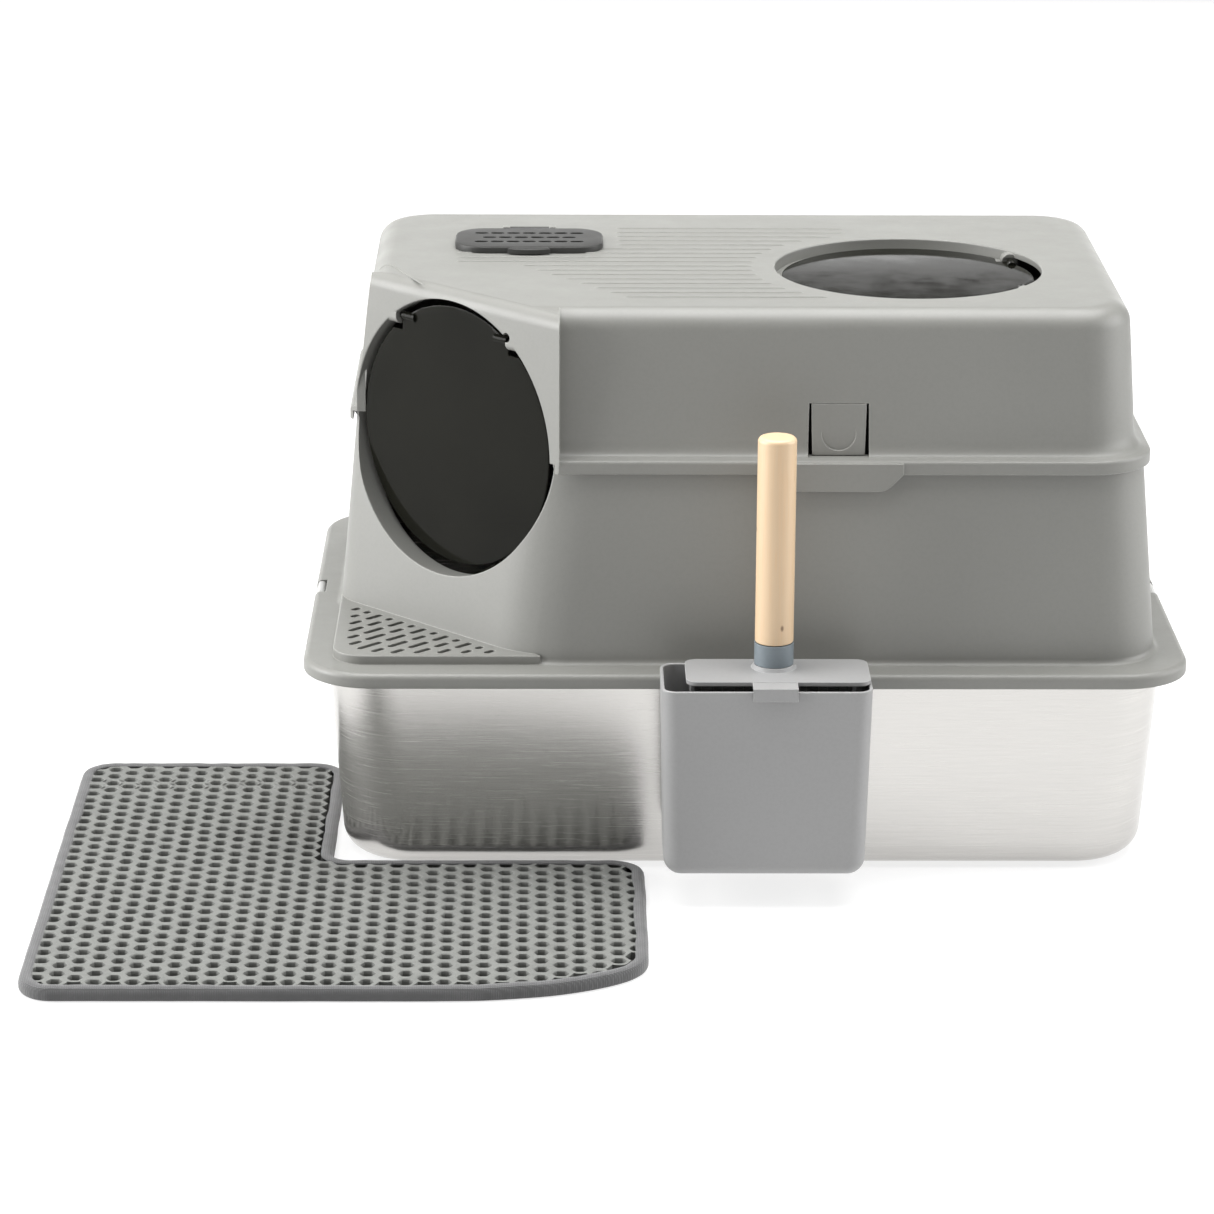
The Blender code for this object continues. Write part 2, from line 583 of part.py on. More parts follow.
def make_hood():
    lip = HOOD_LIP
    rings = [
        rounded_box([h - 0.0006 for h in lip], LIP_CORNER - 0.0006, HOOD_LIP_BOTTOM),
        rounded_box(lip, LIP_CORNER, HOOD_LIP_BOTTOM + 0.0008),
        rounded_box(lip, LIP_CORNER, SEAM + 0.0020),
        rounded_box([h - 0.0010 for h in lip], LIP_CORNER - 0.0010, SEAM + 0.0036),
        rounded_box([h - 0.0036 for h in lip], LIP_CORNER - 0.0036, SEAM + 0.0044),
        rounded_box([h - 0.0062 for h in lip], 0.0400, SEAM + 0.0050),
        rounded_box([h - 0.0092 for h in lip], 0.0395, SEAM + 0.0075),
        rounded_box([h - 0.0108 for h in lip], 0.0400, SEAM + 0.0120),
    ]
    rings += hood_rings(0.0, WALL_LOW_Z)
    shell = add_object("hood", loft(rings))
    join(shell, entry_boss(0.0, SEAM + GAP))
    combine(shell, behind_panel(0.0), "INTERSECT")

    skirt_half = [h - LIP_WALL for h in lip]
    skirt_ends = (HOOD_LIP_BOTTOM - 0.020, SEAM + GAP)
    skirt = add_object("skirt", loft([rounded_box(skirt_half, LIP_CORNER - LIP_WALL, z) for z in skirt_ends]))
    subtract(shell, skirt)
    hollow = add_object("hollow", loft(hood_rings(PLASTIC, SEAM - 0.010)))
    join(hollow, entry_boss(PLASTIC, SEAM - 0.012))
    combine(hollow, behind_panel(PLASTIC), "INTERSECT")

    collar = entry_bar(ENTRY_RADIUS + COLLAR_WALL, FACING, COLLAR_OUT, COLLAR_HIGH)
    pivots = (
        (entry_axis(), ACROSS, pivot_reach(ENTRY_RADIUS)),
        (exit_axis(), Vector((0, 1, 0)), pivot_reach(EXIT_RADIUS)),
    )
    cup = exit_cup()
    for seat, pivot in zip((collar, cup), pivots):
        for side in (-1, 1):
            join(seat, bearing(pivot, side))
    subtract(collar, box((-0.5, -0.5, 0.1), (0.5, 0.5, SEAM + 0.0006)))
    subtract(hollow, collar, cup, filter_frame())
    subtract(shell, hollow)

    subtract(shell, trimmed_bore(entry_bar(ENTRY_RADIUS, FACING, BORE_REACH, BORE_REACH), pivots[0]))
    x, y = EXIT_CENTRE
    bore = cylinder(EXIT_RADIUS, (x, y, pivots[1][0].z - 0.0013), (x, y, HEIGHT + 0.01), 56)
    subtract(shell, trimmed_bore(bore, pivots[1]))
    subtract(shell, cylinder(LEDGE_RADIUS, (x, y, HEIGHT - 0.03), (x, y, HEIGHT), 56), ledge_gap())
    for centre, line, reach in pivots:
        for side in (-1, 1):
            subtract(shell, cylinder(0.0021, centre + line * side * (reach - 0.002),
                                     centre + line * side * (reach + 0.0125), 10))
    fx, fy = FILTER_CENTRE
    hole = [(v.x, v.y) for v in rounded_box([s / 2 + 0.0006 for s in TRAY_SIZE], 0.012, 0, (fx, fy))]
    subtract(shell, prism(hole, HEIGHT - 0.03, HEIGHT + 0.01))
    for side in (-1, 1):
        join(shell, cover_lug(side), latch_apron(side))
        subtract(shell, latch_slot(side))
    subtract(shell, cylinder(0.0011, (fx - 0.03, COVER_AXIS[0], COVER_AXIS[1]),
                             (fx + 0.03, COVER_AXIS[0], COVER_AXIS[1]), 10))
    return finish(shell, material("hood grey", PLASTIC_GREY, 0.52))


def trimmed_bore(bore, pivot):
    """Keep the pivot bearings that stand a little inside a round opening."""
    return subtract(bore, bearing(pivot, -1), bearing(pivot, 1))


# ---- flaps --------------------------------------------------------------------------------
def entry_axis():
    """Middle of the entry flap's pivot line."""
    return ENTRY_CENTRE + UP * PIVOT_HEIGHT - FACING * FLAP_DEPTH


def exit_axis():
    x, y = EXIT_CENTRE
    return Vector((x + PIVOT_HEIGHT, y, HEIGHT - EXIT_SINK - FLAP_THICK / 2))


def make_flap(name, axis, across, up, radius, skin):
    """Disc hinged on a chord, with a barrel at each end of it; up points from centre to pivot."""
    across, up = Vector(across), Vector(up)
    out = across.cross(up)
    edge = radius - FLAP_CLEAR
    half = pivot_reach(radius)
    centre = axis - up * PIVOT_HEIGHT
    disc = cylinder(edge, centre - out * FLAP_THICK / 2, centre + out * FLAP_THICK / 2, 64, name)
    turn = Matrix((across, up, out)).transposed().to_4x4()
    reach = 0.030
    for side in (-1, 1):
        near = axis + across * side * (half + BARREL_OUTER)
        notch = box((-reach, FLAP_NOTCH[0], -reach), (reach, FLAP_NOTCH[1], reach))
        notch.data.transform(Matrix.Translation(near + across * side * (reach + 0.0004)) @ turn)
        subtract(disc, notch)
        join(disc, cylinder(FLAP_BARREL, axis + across * side * (half - BARREL_INNER), near, 14))
        subtract(disc, cylinder(PIN_RADIUS + GAP, axis + across * side * (half - PIN_INNER - GAP),
                                axis + across * side * (half + BARREL_INNER), 10))
    flap = finish(disc, skin, axis)
    for side, word in ((-1, "left"), (1, "right")):
        pin = cylinder(PIN_RADIUS, axis + across * side * (half - PIN_INNER),
                       axis + across * side * (half + PIN_OUTER), 10, name + "_pin_" + word)
        pin.data.materials.append(material(name + " pin " + word, (0.05, 0.05, 0.05), 0.4))
    return flap


# ---- filter -------------------------------------------------------------------------------
COVER_AXIS = (FILTER_CENTRE[1] + COVER_SIZE[1] / 2 + 0.0042, HEIGHT + 0.0026)    # y, z
LUG_X = 0.0165


def cover_lug(side):
    x = FILTER_CENTRE[0] + side * LUG_X
    y, z = COVER_AXIS
    return box((x - 0.0022, y - 0.0026, HEIGHT - 0.0010), (x + 0.0022, y + 0.0026, z + 0.0022))


def filter_frame():
    """Solid left in the hood's hollow round the filter hole, which carries the tray."""
    size = [s / 2 + 0.0030 for s in TRAY_SIZE]
    ring = [(v.x, v.y) for v in rounded_box(size, 0.014, 0, FILTER_CENTRE)]
    return prism(ring, HEIGHT - 0.0080, HEIGHT - 0.001)


def make_filter_tray():
    fx, fy = FILTER_CENTRE
    half = [s / 2 for s in TRAY_SIZE]
    top = HEIGHT + GAP + 0.0012
    low = HEIGHT - TRAY_DEPTH
    rings = [
        rounded_box([h - 0.0010 for h in half], 0.0110, low, (fx, fy)),
        rounded_box(half, 0.0120, low + 0.001, (fx, fy)),
        rounded_box(half, 0.0120, HEIGHT + GAP, (fx, fy)),
        rounded_box([h + 0.0032 for h in half], 0.0185, HEIGHT + GAP, (fx, fy)),
        rounded_box([h + 0.0032 for h in half], 0.0185, top, (fx, fy)),
        rounded_box([h - 0.0018 for h in half], 0.0100, top, (fx, fy)),
        rounded_box([h - 0.0018 for h in half], 0.0100, low + 0.0018, (fx, fy)),
    ]
    tray = add_object("filter_tray", loft(rings))
    for index in range(6):
        x = fx - 0.033 + index * 0.0132
        subtract(tray, prism(stadium((x, fy), 0.014, 0.0028, math.pi / 2, 2), low - 0.01, low + 0.01))
    finish(tray, material("tray charcoal", CHARCOAL, 0.5))
    pad = rounded_box([h - 0.0024 for h in half], 0.0090, low + 0.0021, (fx, fy))
    pad_top = rounded_box([h - 0.0024 for h in half], 0.0090, HEIGHT - 0.0010, (fx, fy))
    add_object("carbon_filter", loft([pad, pad_top]), material("carbon felt", (0.03, 0.03, 0.03), 0.95))


def make_filter_cover():
    fx, fy = FILTER_CENTRE
    half = [s / 2 for s in COVER_SIZE]
    low = HEIGHT + GAP
    top = HEIGHT + COVER_RISE
    rings = [
        rounded_box(half, 0.0200, low, (fx, fy)),
        rounded_box(half, 0.0200, top - 0.0016, (fx, fy)),
        rounded_box([h - 0.0005 for h in half], 0.0195, top - 0.0005, (fx, fy)),
        rounded_box([h - 0.0018 for h in half], 0.0182, top, (fx, fy)),
    ]
    cover = add_object("filter_cover", loft(rings))
    lip = arc((fx, fy - half[1] + 0.030), 0.0365, math.radians(-114), math.radians(-66), 8)
    lip += [(fx + 0.012, fy - half[1] + 0.004), (fx - 0.012, fy - half[1] + 0.004)]
    join(cover, prism(lip, low + 0.0005, top - 0.0008))
    inside = [(v.x, v.y) for v in rounded_box([h - 0.0020 for h in half], 0.0180, 0, (fx, fy))]
    subtract(cover, prism(inside, HEIGHT - 0.010, top - 0.0020))
    y, z = COVER_AXIS
    reach = LUG_X - 0.0026
    join(cover, box((fx - reach, y - 0.0055, z - 0.0012), (fx + reach, y, z + 0.0008)))
    join(cover, cylinder(0.0021, (fx - reach, y, z), (fx + reach, y, z), 14))
    subtract(cover, cylinder(0.0012, (fx - 0.03, y, z), (fx + 0.03, y, z), 10))
    for row in range(3):
        for column in range(7 - row % 2):
            x = fx + (column - 3 + (row % 2) * 0.5) * 0.0112
            hole = stadium((x, fy + (row - 1) * 0.0135), 0.0026, 0.0024, 0.0, 3)
            subtract(cover, prism(hole, HEIGHT - 0.01, top + 0.01))
    finish(cover, material("cover charcoal", CHARCOAL, 0.42), (fx, y, z))
    pin = cylinder(0.0008, (fx - 0.0185, y, z), (fx + 0.0185, y, z), 10, "filter_cover_pin")
    pin.data.materials.append(material("cover pin", (0.5, 0.5, 0.5), 0.35, 1.0))


# ---- latches ------------------------------------------------------------------------------
def make_latch(side, word):
    """Spring tongue in the hood's wall: hinged at its root, thumb dimple near its free end."""
    slope = (HOOD_WALL_LOW[1] - HOOD_WALL_TOP[1]) / (HEIGHT - HOOD_FILLET - WALL_LOW_Z)
    root = LATCH_ROOT - GAP
    wall_root = HOOD_WALL_TOP[1] + slope * (HEIGHT - HOOD_FILLET - LATCH_ROOT)
    wall_end = HOOD_WALL_LOW[1] + 0.0014
    profile = [(wall_root, root), (wall_end, LATCH_END), (wall_end - LATCH_THICK, LATCH_END),
               (wall_root - LATCH_THICK, root)]
    rings = []
    for sx in (-1, 1):
        ring = []
        for y, z in profile:
            half = LATCH_HALF - LATCH_SLIT - LATCH_TAPER * (LATCH_ROOT - z) / (LATCH_ROOT - LATCH_END)
            ring.append(Vector((LATCH_X + sx * half, side * y, z)))
        rings.append(ring)
    tongue = add_object("latch_tab_" + word, loft(rings))
    dimple_z = (LATCH_ROOT + LATCH_END) / 2 - 0.003
    dimple_floor = side * (wall_root + 0.0014)
    subtract(tongue, cylinder(0.0115, (LATCH_X, side * (wall_root + 0.0060), dimple_z),
                              (LATCH_X, dimple_floor, dimple_z), 24))
    axis = (LATCH_X, side * (wall_root - 0.0011), root - 0.0008)
    return finish(tongue, material("latch grey " + word, PLASTIC_GREY, 0.5), axis)


# ---- scoop and holder ---------------------------------------------------------------------
def make_holder():
    def ring(half_x, front, back, corner, z):
        centre = (HOLDER_X, (front + back) / 2)
        return rounded_box((half_x, (back - front) / 2), corner, z, centre)

    wall = HOLDER_WALL
    front_top = HOLDER_BACK - HOLDER_DEPTH
    front_low = front_top + 0.0045
    rings = [
        ring(HOLDER_HALF_LOW - 0.010, front_low + 0.010, HOLDER_BACK - 0.010, 0.006, HOLDER_LOW),
        ring(HOLDER_HALF_LOW - 0.003, front_low + 0.003, HOLDER_BACK - 0.003, 0.008, HOLDER_LOW + 0.0030),
        ring(HOLDER_HALF_LOW, front_low, HOLDER_BACK, 0.010, HOLDER_LOW + 0.010),
        ring(HOLDER_HALF_TOP, front_top, HOLDER_BACK, 0.010, HOLDER_TOP - 0.0010),
        ring(HOLDER_HALF_TOP - 0.0006, front_top + 0.0006, HOLDER_BACK - 0.0006, 0.0094, HOLDER_TOP),
        ring(HOLDER_HALF_TOP - wall, front_top + wall, HOLDER_BACK - wall, 0.0080, HOLDER_TOP),
        ring(HOLDER_HALF_LOW - wall, front_low + wall, HOLDER_BACK - wall, 0.0080, HOLDER_LOW + 0.010),
        ring(HOLDER_HALF_LOW - 0.010, front_low + 0.010, HOLDER_BACK - 0.010, 0.0060, HOLDER_LOW + wall),
    ]
    holder = add_object("scoop_holder", loft(rings))
    for offset in (-0.038, 0.038):
        x = HOLDER_X + offset
        join(holder, box((x - 0.012, HOLDER_BACK - 0.0010, FLANGE_TOP + GAP),
                         (x + 0.012, -0.1890, FLANGE_TOP + 0.0030)))
        join(holder, box((x - 0.012, HOLDER_BACK - 0.0010, FLANGE_LIP - 0.0035),
                         (x + 0.012, -0.1950, FLANGE_LIP - GAP)))
    return finish(holder, material("holder grey", LIGHT_GREY, 0.5))


def make_scoop():
    plate_low, plate_top = SCOOP_PLATE_Z
    x0, x1 = SCOOP_PLATE
    y0, y1 = SCOOP_PLATE_Y
    centre = ((x0 + x1) / 2, (y0 + y1) / 2)
    half = ((x1 - x0) / 2, (y1 - y0) / 2)
    plate = [(v.x, v.y) for v in rounded_box(half, 0.008, 0, centre)]
    head = prism(plate, plate_low + GAP, plate_top, "scoop_head")
    blade_back = y1 - 0.0030
    shell = [
        [Vector((x, y, z)) for x, y in ((BLADE_X[0], blade_back), (BLADE_X[1], blade_back),
                                        (BLADE_X[1], front), (BLADE_X[0], front))]
        for z, front in ((BLADE_LOW, blade_back - 0.010), (BLADE_LOW + 0.030, blade_back - 0.030),
                         (plate_low + 0.001, blade_back - 0.038))
    ]
    basket = add_object("tool", loft(shell), smooth=False)
    scooped = [
        [Vector((x, y, z)) for x, y in ((BLADE_X[0] + 0.0025, blade_back - 0.0025),
                                        (BLADE_X[1] - 0.0025, blade_back - 0.0025),
                                        (BLADE_X[1] - 0.0025, -0.30), (BLADE_X[0] + 0.0025, -0.30))]
        for z in (BLADE_LOW - 0.02, plate_low - 0.0005)
    ]
    subtract(basket, add_object("tool", loft(scooped), smooth=False))
    join(head, basket)
    for index in range(7):
        x = BLADE_X[0] + 0.0125 + index * 0.0140
        for low, high in ((BLADE_LOW + 0.008, BLADE_LOW + 0.048), (BLADE_LOW + 0.056, plate_low - 0.010)):
            subtract(head, box((x - 0.0040, blade_back - 0.010, low), (x + 0.0040, blade_back + 0.01, high)))
    tab_front = HOLDER_BACK - HOLDER_DEPTH - 0.0030
    join(head, box((0.0005, tab_front, plate_low + 0.0006), (0.0300, y0 + 0.002, plate_top - 0.0003)))
    join(head, box((0.0005, tab_front, plate_low - 0.0060), (0.0300, tab_front + 0.0020, plate_top - 0.0006)))
    join(head, cylinder(HANDLE_RADIUS + 0.0030, (SCOOP_X, SCOOP_Y, plate_top - 0.001),
                        (SCOOP_X, SCOOP_Y, plate_top + 0.0025), 32, tip=HANDLE_RADIUS + 0.0006))
    subtract(head, cylinder(0.0031, (SCOOP_X, SCOOP_Y, plate_low - 0.01), (SCOOP_X, SCOOP_Y, plate_top + 0.01), 12))
    finish(head, material("scoop grey", LIGHT_GREY, 0.5))

    base = plate_top + 0.0025 + GAP
    ferrule = cylinder(HANDLE_RADIUS + 0.0003, (SCOOP_X, SCOOP_Y, base), (SCOOP_X, SCOOP_Y, FERRULE_TOP), 32,
                       "handle_ferrule")
    subtract(ferrule, cylinder(0.0031, (SCOOP_X, SCOOP_Y, base - 0.01), (SCOOP_X, SCOOP_Y, FERRULE_TOP + 0.01), 12))
    finish(ferrule, material("ferrule blue grey", (0.152, 0.172, 0.188), 0.45))

    start = FERRULE_TOP + GAP
    steps = [(HANDLE_RADIUS - 0.0006, start), (HANDLE_RADIUS, start + 0.0008),
             (HANDLE_RADIUS, HANDLE_TOP - 0.0030), (HANDLE_RADIUS - 0.0009, HANDLE_TOP - 0.0009),
             (HANDLE_RADIUS - 0.0030, HANDLE_TOP)]
    rings = []
    for radius, z in steps:
        rings.append([Vector((x, y, z)) for x, y in
                      arc((SCOOP_X, SCOOP_Y), radius, 0.0, math.tau * 31 / 32, 31)])
    handle = add_object("scoop_handle", loft(rings))
    subtract(handle, cylinder(0.0031, (SCOOP_X, SCOOP_Y, start - 0.01), (SCOOP_X, SCOOP_Y, start + 0.030), 12))
    finish(handle, material("beech", (0.72, 0.55, 0.36), 0.5))

    screw = cylinder(0.0027, (SCOOP_X, SCOOP_Y, plate_low - 0.0010), (SCOOP_X, SCOOP_Y, start + 0.028), 12,
                     "handle_screw")
    join(screw, cylinder(0.0052, (SCOOP_X, SCOOP_Y, plate_low - 0.0034), (SCOOP_X, SCOOP_Y, plate_low - 0.0008), 16))
    finish(screw, material("zinc screw", (0.55, 0.55, 0.55), 0.35, 1.0))


# ---- mat ----------------------------------------------------------------------------------
def mat_outline(inset):
    """L-shaped outline with round outer corners, moved inward by inset."""
    left, front, right, back = MAT_OUTER
    arm_x, arm_y = MAT_INNER
    left, front, right, back = left + inset, front + inset, right - inset, back - inset
    arm_x, arm_y = arm_x - inset, arm_y - inset
    outer = MAT_CORNER - inset
    inner = 0.010 + inset
    quarter = math.pi / 2
    points = arc((left + outer, front + outer), outer, math.pi, math.pi + quarter, 5)
    along, deep = (reach - inset for reach in MAT_WORN)
    points += [(right - along + along * x, front + deep + deep * y) for x, y in arc((0, 0), 1.0, -quarter, 0.0, 10)]
    points += arc((right - outer, arm_y - outer), outer, 0.0, quarter, 5)
    points += arc((arm_x + inner, arm_y + inner), inner, -quarter, -math.pi, 4)
    points += arc((arm_x - outer, back - outer), outer, 0.0, quarter, 5)
    points += arc((left + outer, back - outer), outer, quarter, math.pi, 5)
    return points


def make_mat():
    middle = MAT_THICK * 0.42
    edge = mat_outline(0.0)
    lip = mat_outline(MAT_BINDING)
    rings = [
        [Vector((x, y, 0.0)) for x, y in mat_outline(0.0012)],
        [Vector((x, y, 0.0015)) for x, y in edge],
        [Vector((x, y, MAT_THICK - 0.0015)) for x, y in edge],
        [Vector((x, y, MAT_THICK)) for x, y in mat_outline(0.0015)],
        [Vector((x, y, MAT_THICK)) for x, y in lip],
        [Vector((x, y, 0.0)) for x, y in lip],
    ]
    add_object("mat_binding", loft(rings, closed=True), material("binding grey", (0.11, 0.11, 0.11), 0.9))
    inside = mat_outline(MAT_BINDING + GAP)
    base = prism(inside, 0.0, middle - GAP, "mat_base")
    base.data.materials.append(material("mat base", (0.20, 0.20, 0.19), 0.9))
    top = prism(inside, middle, MAT_THICK - 0.0008, "mat_top")
    top.data.materials.append(material("mat foam", (0.27, 0.28, 0.26), 0.9))


# ---- assembly -----------------------------------------------------------------------------
def main():
    clear_scene()
    make_pan()
    make_enclosure()
    make_rim_clip(-1, "left")
    make_rim_clip(1, "right")
    make_hood()
    make_flap("entry_flap", entry_axis(), ACROSS, (0, 0, 1), ENTRY_RADIUS,
              material("tinted smoke", TINTED, 0.12))
    make_flap("exit_flap", exit_axis(), (0, -1, 0), (1, 0, 0), EXIT_RADIUS,
              material("tinted smoke exit", TINTED, 0.12))
    make_filter_tray()
    make_filter_cover()
    make_latch(-1, "front")
    make_latch(1, "rear")
    make_holder()
    make_scoop()
    make_mat()


main()
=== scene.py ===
"""Looks of the hooded cat litter box: finer shells, honeycomb mat, materials, light and camera.

Metres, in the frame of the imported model: +X along the long side, the front with the latch at -Y, +Z up.
"""
import json
import math
import random

import bmesh
import bpy
from mathutils import Matrix, Vector, noise


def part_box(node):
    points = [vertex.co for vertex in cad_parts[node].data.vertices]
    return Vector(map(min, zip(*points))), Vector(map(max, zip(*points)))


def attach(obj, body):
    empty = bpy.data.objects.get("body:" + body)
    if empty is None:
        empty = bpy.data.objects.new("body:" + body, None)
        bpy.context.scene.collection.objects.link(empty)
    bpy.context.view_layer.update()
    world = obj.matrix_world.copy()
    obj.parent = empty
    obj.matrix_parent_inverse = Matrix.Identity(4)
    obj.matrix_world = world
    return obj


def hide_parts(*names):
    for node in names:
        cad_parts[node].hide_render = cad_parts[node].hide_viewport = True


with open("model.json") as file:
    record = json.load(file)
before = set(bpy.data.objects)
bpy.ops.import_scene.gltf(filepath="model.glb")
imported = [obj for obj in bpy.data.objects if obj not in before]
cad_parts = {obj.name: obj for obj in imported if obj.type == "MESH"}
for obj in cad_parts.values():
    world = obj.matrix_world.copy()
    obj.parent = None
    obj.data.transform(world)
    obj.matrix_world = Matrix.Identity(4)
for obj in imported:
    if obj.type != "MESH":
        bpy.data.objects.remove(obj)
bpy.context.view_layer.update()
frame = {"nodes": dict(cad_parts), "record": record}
nodes = frame["nodes"]

# ---- sizes ----------------------------------------------------------------------------------
GAP = 0.0003
PLASTIC = 0.0025                # wall of the moulded shells
STEEL = 0.0015                  # wall of the pan
HEIGHT = 0.385                  # floor to the top of the hood
CORNER_STEPS = 14               # facets round each vertical corner
FILLET_STEPS = 10
BORE_SIDES = 144
MOUTH = 0.0010                  # round on the edges of the two openings

PAN_TOP = 0.1415
PAN_HALF = (0.2840, 0.1865)     # outside of the wall at the rim
PAN_FOOT = (0.2755, 0.1800)     # outside of the wall just above the bottom curve
PAN_CURVE = 0.018
PAN_RIM = (0.2910, 0.1930)
PAN_CORNER = 0.050
RIM_CORNER = 0.0575
RIM_DROP = 0.006                # depth of the rolled rim

FLANGE_HALF = (0.3000, 0.1980)
FLANGE_TOP = 0.145
FLANGE_LIP = 0.135
FLANGE_CORNER = 0.048
WALL_FOOT = (0.2798, 0.1760)
SEAM = 0.283                    # where the hood sits on the enclosure
WALL_SEAM = (0.2675, 0.1685)
RIM_OUT = 0.0022
WALL_CORNER = 0.044
CHAMFER_BLEND = (0.034, 0.070)  # radii between the entry chamfer and the left and front walls

TREAD_RISE = 0.0065             # corner platform above the flange
TREAD_CORNER = 0.022
TREAD_BACK = 0.012              # how far it runs in under the chamfer
TREAD_WALL = 0.0028
SLOT_PITCH = 0.01116
SLOT_COLUMNS = 6
SLOT_HALF_WIDTH = 0.0023
SLOT_MARGIN = 0.0052            # from the chamfer's foot to the nearest slots
SLOT_SPANS = (                  # start and end of each slot from there, for even and odd columns
    ((0.0, 0.0150), (0.0190, 0.0375), (0.0415, 0.0645)),
    ((0.0, 0.0068), (0.0108, 0.0236), (0.0276, 0.0460), (0.0498, 0.0612)),
)
SLOT_EDGE = (-0.2705, -0.1705)
SLOT_CORNER = -0.3000

CHAMFER_DRAFT = math.radians(7.8)    # lean of the enclosure's chamfer; the hood's panel is upright
ENTRY_CENTRE = Vector((-0.2006, -0.0997, SEAM))
ENTRY_RADIUS = 0.0950
COLLAR_WALL = 0.0022
COLLAR_LOW = 0.0180             # depth of the turned-in collar in the enclosure
COLLAR_HIGH = 0.0140            # and in the hood
COLLAR_OUT = 0.0200             # how far its blank stands out before it is trimmed to the face
BORE_REACH = 0.0300
BOSS_BACK_WALL = 0.0008         # left standing where the bore meets the boss's back
PIVOT_HEIGHT = 0.0755           # pivot above the middle of either flap
FLAP_DEPTH = 0.0055             # of the entry flap's middle plane behind the hood's panel
FLAP_CLEAR = 0.0050             # from a flap's edge to its opening
FLAP_THICK = 0.002
FLAP_NOTCH = (-0.0100, 0.0128)  # below and above the pivot, where the disc clears its bearings
FLAP_BARREL = 0.0032
BARREL_INNER = 0.0100           # from the end of the pivot line, inward and outward
BARREL_OUTER = 0.0022
PIN_BORE = 0.0015
BEARING_RADIUS = 0.0058
BEARING_START = 0.0045
BEARING_LENGTH = 0.0110
PIN_HOLE = (0.0543, 0.0790)     # across and up from the middle of the entry
PIN_HOLE_RADIUS = 0.0034

HOOD_LIP = (0.2722, 0.1732)
HOOD_LIP_BOTTOM = 0.277
LIP_CORNER = 0.0447
LIP_WALL = 0.0022
HOOD_WALL_LOW = (0.2612, 0.1615)
HOOD_WALL_TOP = (0.2565, 0.1565)
WALL_LOW_Z = 0.302
HOOD_FILLET = 0.015
HOOD_CORNER = 0.040
BOSS_RIGHT = -0.1265
BOSS_BACK = -0.0322
BOSS_LEFT = (                   # x of the boss's flared left side by height
    (0.2830, -0.2708), (0.2945, -0.2687), (0.3045, -0.2668), (0.3135, -0.2648), (0.3280, -0.2625),
    (0.3600, -0.2589), (0.3750, -0.2570), (0.3850, -0.2553),
)
BOSS_DROP = 0.0004              # of the boss's top below the hood's
BOSS_ROUND = 0.010
PANEL_ROUND = 0.010             # round between the entry panel and the hood's top
PANEL_CLEAR = 0.00004           # keeps that round's top off the hood's own
BEAD_LINE = (                   # crease that runs from the boss's back left corner along its top
    (-0.2520, -0.0235, 0.3807), (-0.2495, -0.0205, 0.3827), (-0.2465, -0.0200, 0.3841),
    (-0.2425, -0.0235, 0.3850), (-0.2385, -0.0320, 0.3850), (-0.2350, -0.0420, 0.3850),
    (-0.2300, -0.0545, 0.3850), (-0.2240, -0.0690, 0.3850), (-0.2190, -0.0810, 0.3850),
)
BEAD_HALF = 0.0010
BEAD_RISE = 0.0005

EXIT_CENTRE = (0.114, -0.027)
EXIT_RADIUS = 0.092
EXIT_SINK = 0.0060
EXIT_DEPTH = 0.0125
LEDGE_RADIUS = 0.084

FILTER_CENTRE = (-0.148, 0.045)
COVER_SIZE = (0.104, 0.062)
TRAY_SIZE = (0.092, 0.050)
COVER_AXIS = (FILTER_CENTRE[1] + COVER_SIZE[1] / 2 + 0.0042, HEIGHT + 0.0026)
LUG_X = 0.0165

LATCH_X = 0.0595
LATCH_HALF = 0.0199             # half the width of the tongue's opening at its root
LATCH_ROOT = 0.3230
LATCH_END = 0.2882
APRON_HALF = 0.043
APRON_DROP = 0.0110
APRON_CORNER = 0.012

CLIP_Y = 0.004
CLIP_HALF = 0.0145
CLIP_AXIS = (0.2963, 0.1412)
CLIP_NOTCH = (0.2925, 0.3100)
CLIP_BEARING = (0.2922, 0.2985)

HOLDER_X = 0.010
HOLDER_HALF_TOP = 0.0695
HOLDER_HALF_LOW = 0.0672
HOLDER_BACK = -0.1995
HOLDER_DEPTH = 0.0625
HOLDER_TOP = 0.1545
HOLDER_LOW = 0.0225
HOLDER_WALL = 0.0022
HOLDER_FOOT = 0.012             # round along its lower edge
HOLDER_RIM = 0.0008
HOOK_OFFSET = 0.038             # of its two hooks from its middle
HOOK_HALF = 0.012

RIB_COUNT = 17
RIB_PITCH = 0.01325
RIB_BACK = 0.096
RIB_RISE = 0.00070
RIB_HALF = 0.0010
RIB_END_RADIUS = 0.1075         # the ribs stop on a circle round the exit

MAT_OUTER = (-0.4700, -0.4150, -0.0680, 0.0120)
MAT_INNER = (-0.2800, -0.1840)
MAT_THICK = 0.0090
MAT_BINDING = 0.0080
MAT_CORNER = 0.024
MAT_WORN = (0.130, 0.060)
CELL_PITCH = 0.01422            # between neighbouring holes of the honeycomb
CELL_HOLE = 0.0046              # radius of a hole
CELL_SIDES = 18
CELL_TURNS = [math.tau * number / CELL_SIDES for number in range(CELL_SIDES)]
CELL_PROFILE = (                # share of the hole's radius, and depth below the foam's top
    (1.22, 0.0001),
    (1.06, 0.0005),
    (1.0, 0.0013),
    (0.97, 0.0030),
    (0.98, None),
)
MAT_LOWER = 0.0030              # thickness of the closed lower sheet

EDGE_HIGHLIGHT = 1.9                 # how much lighter the plastic's edges are painted, as a painted highlight along them
SHARP_ANGLE = math.radians(32)

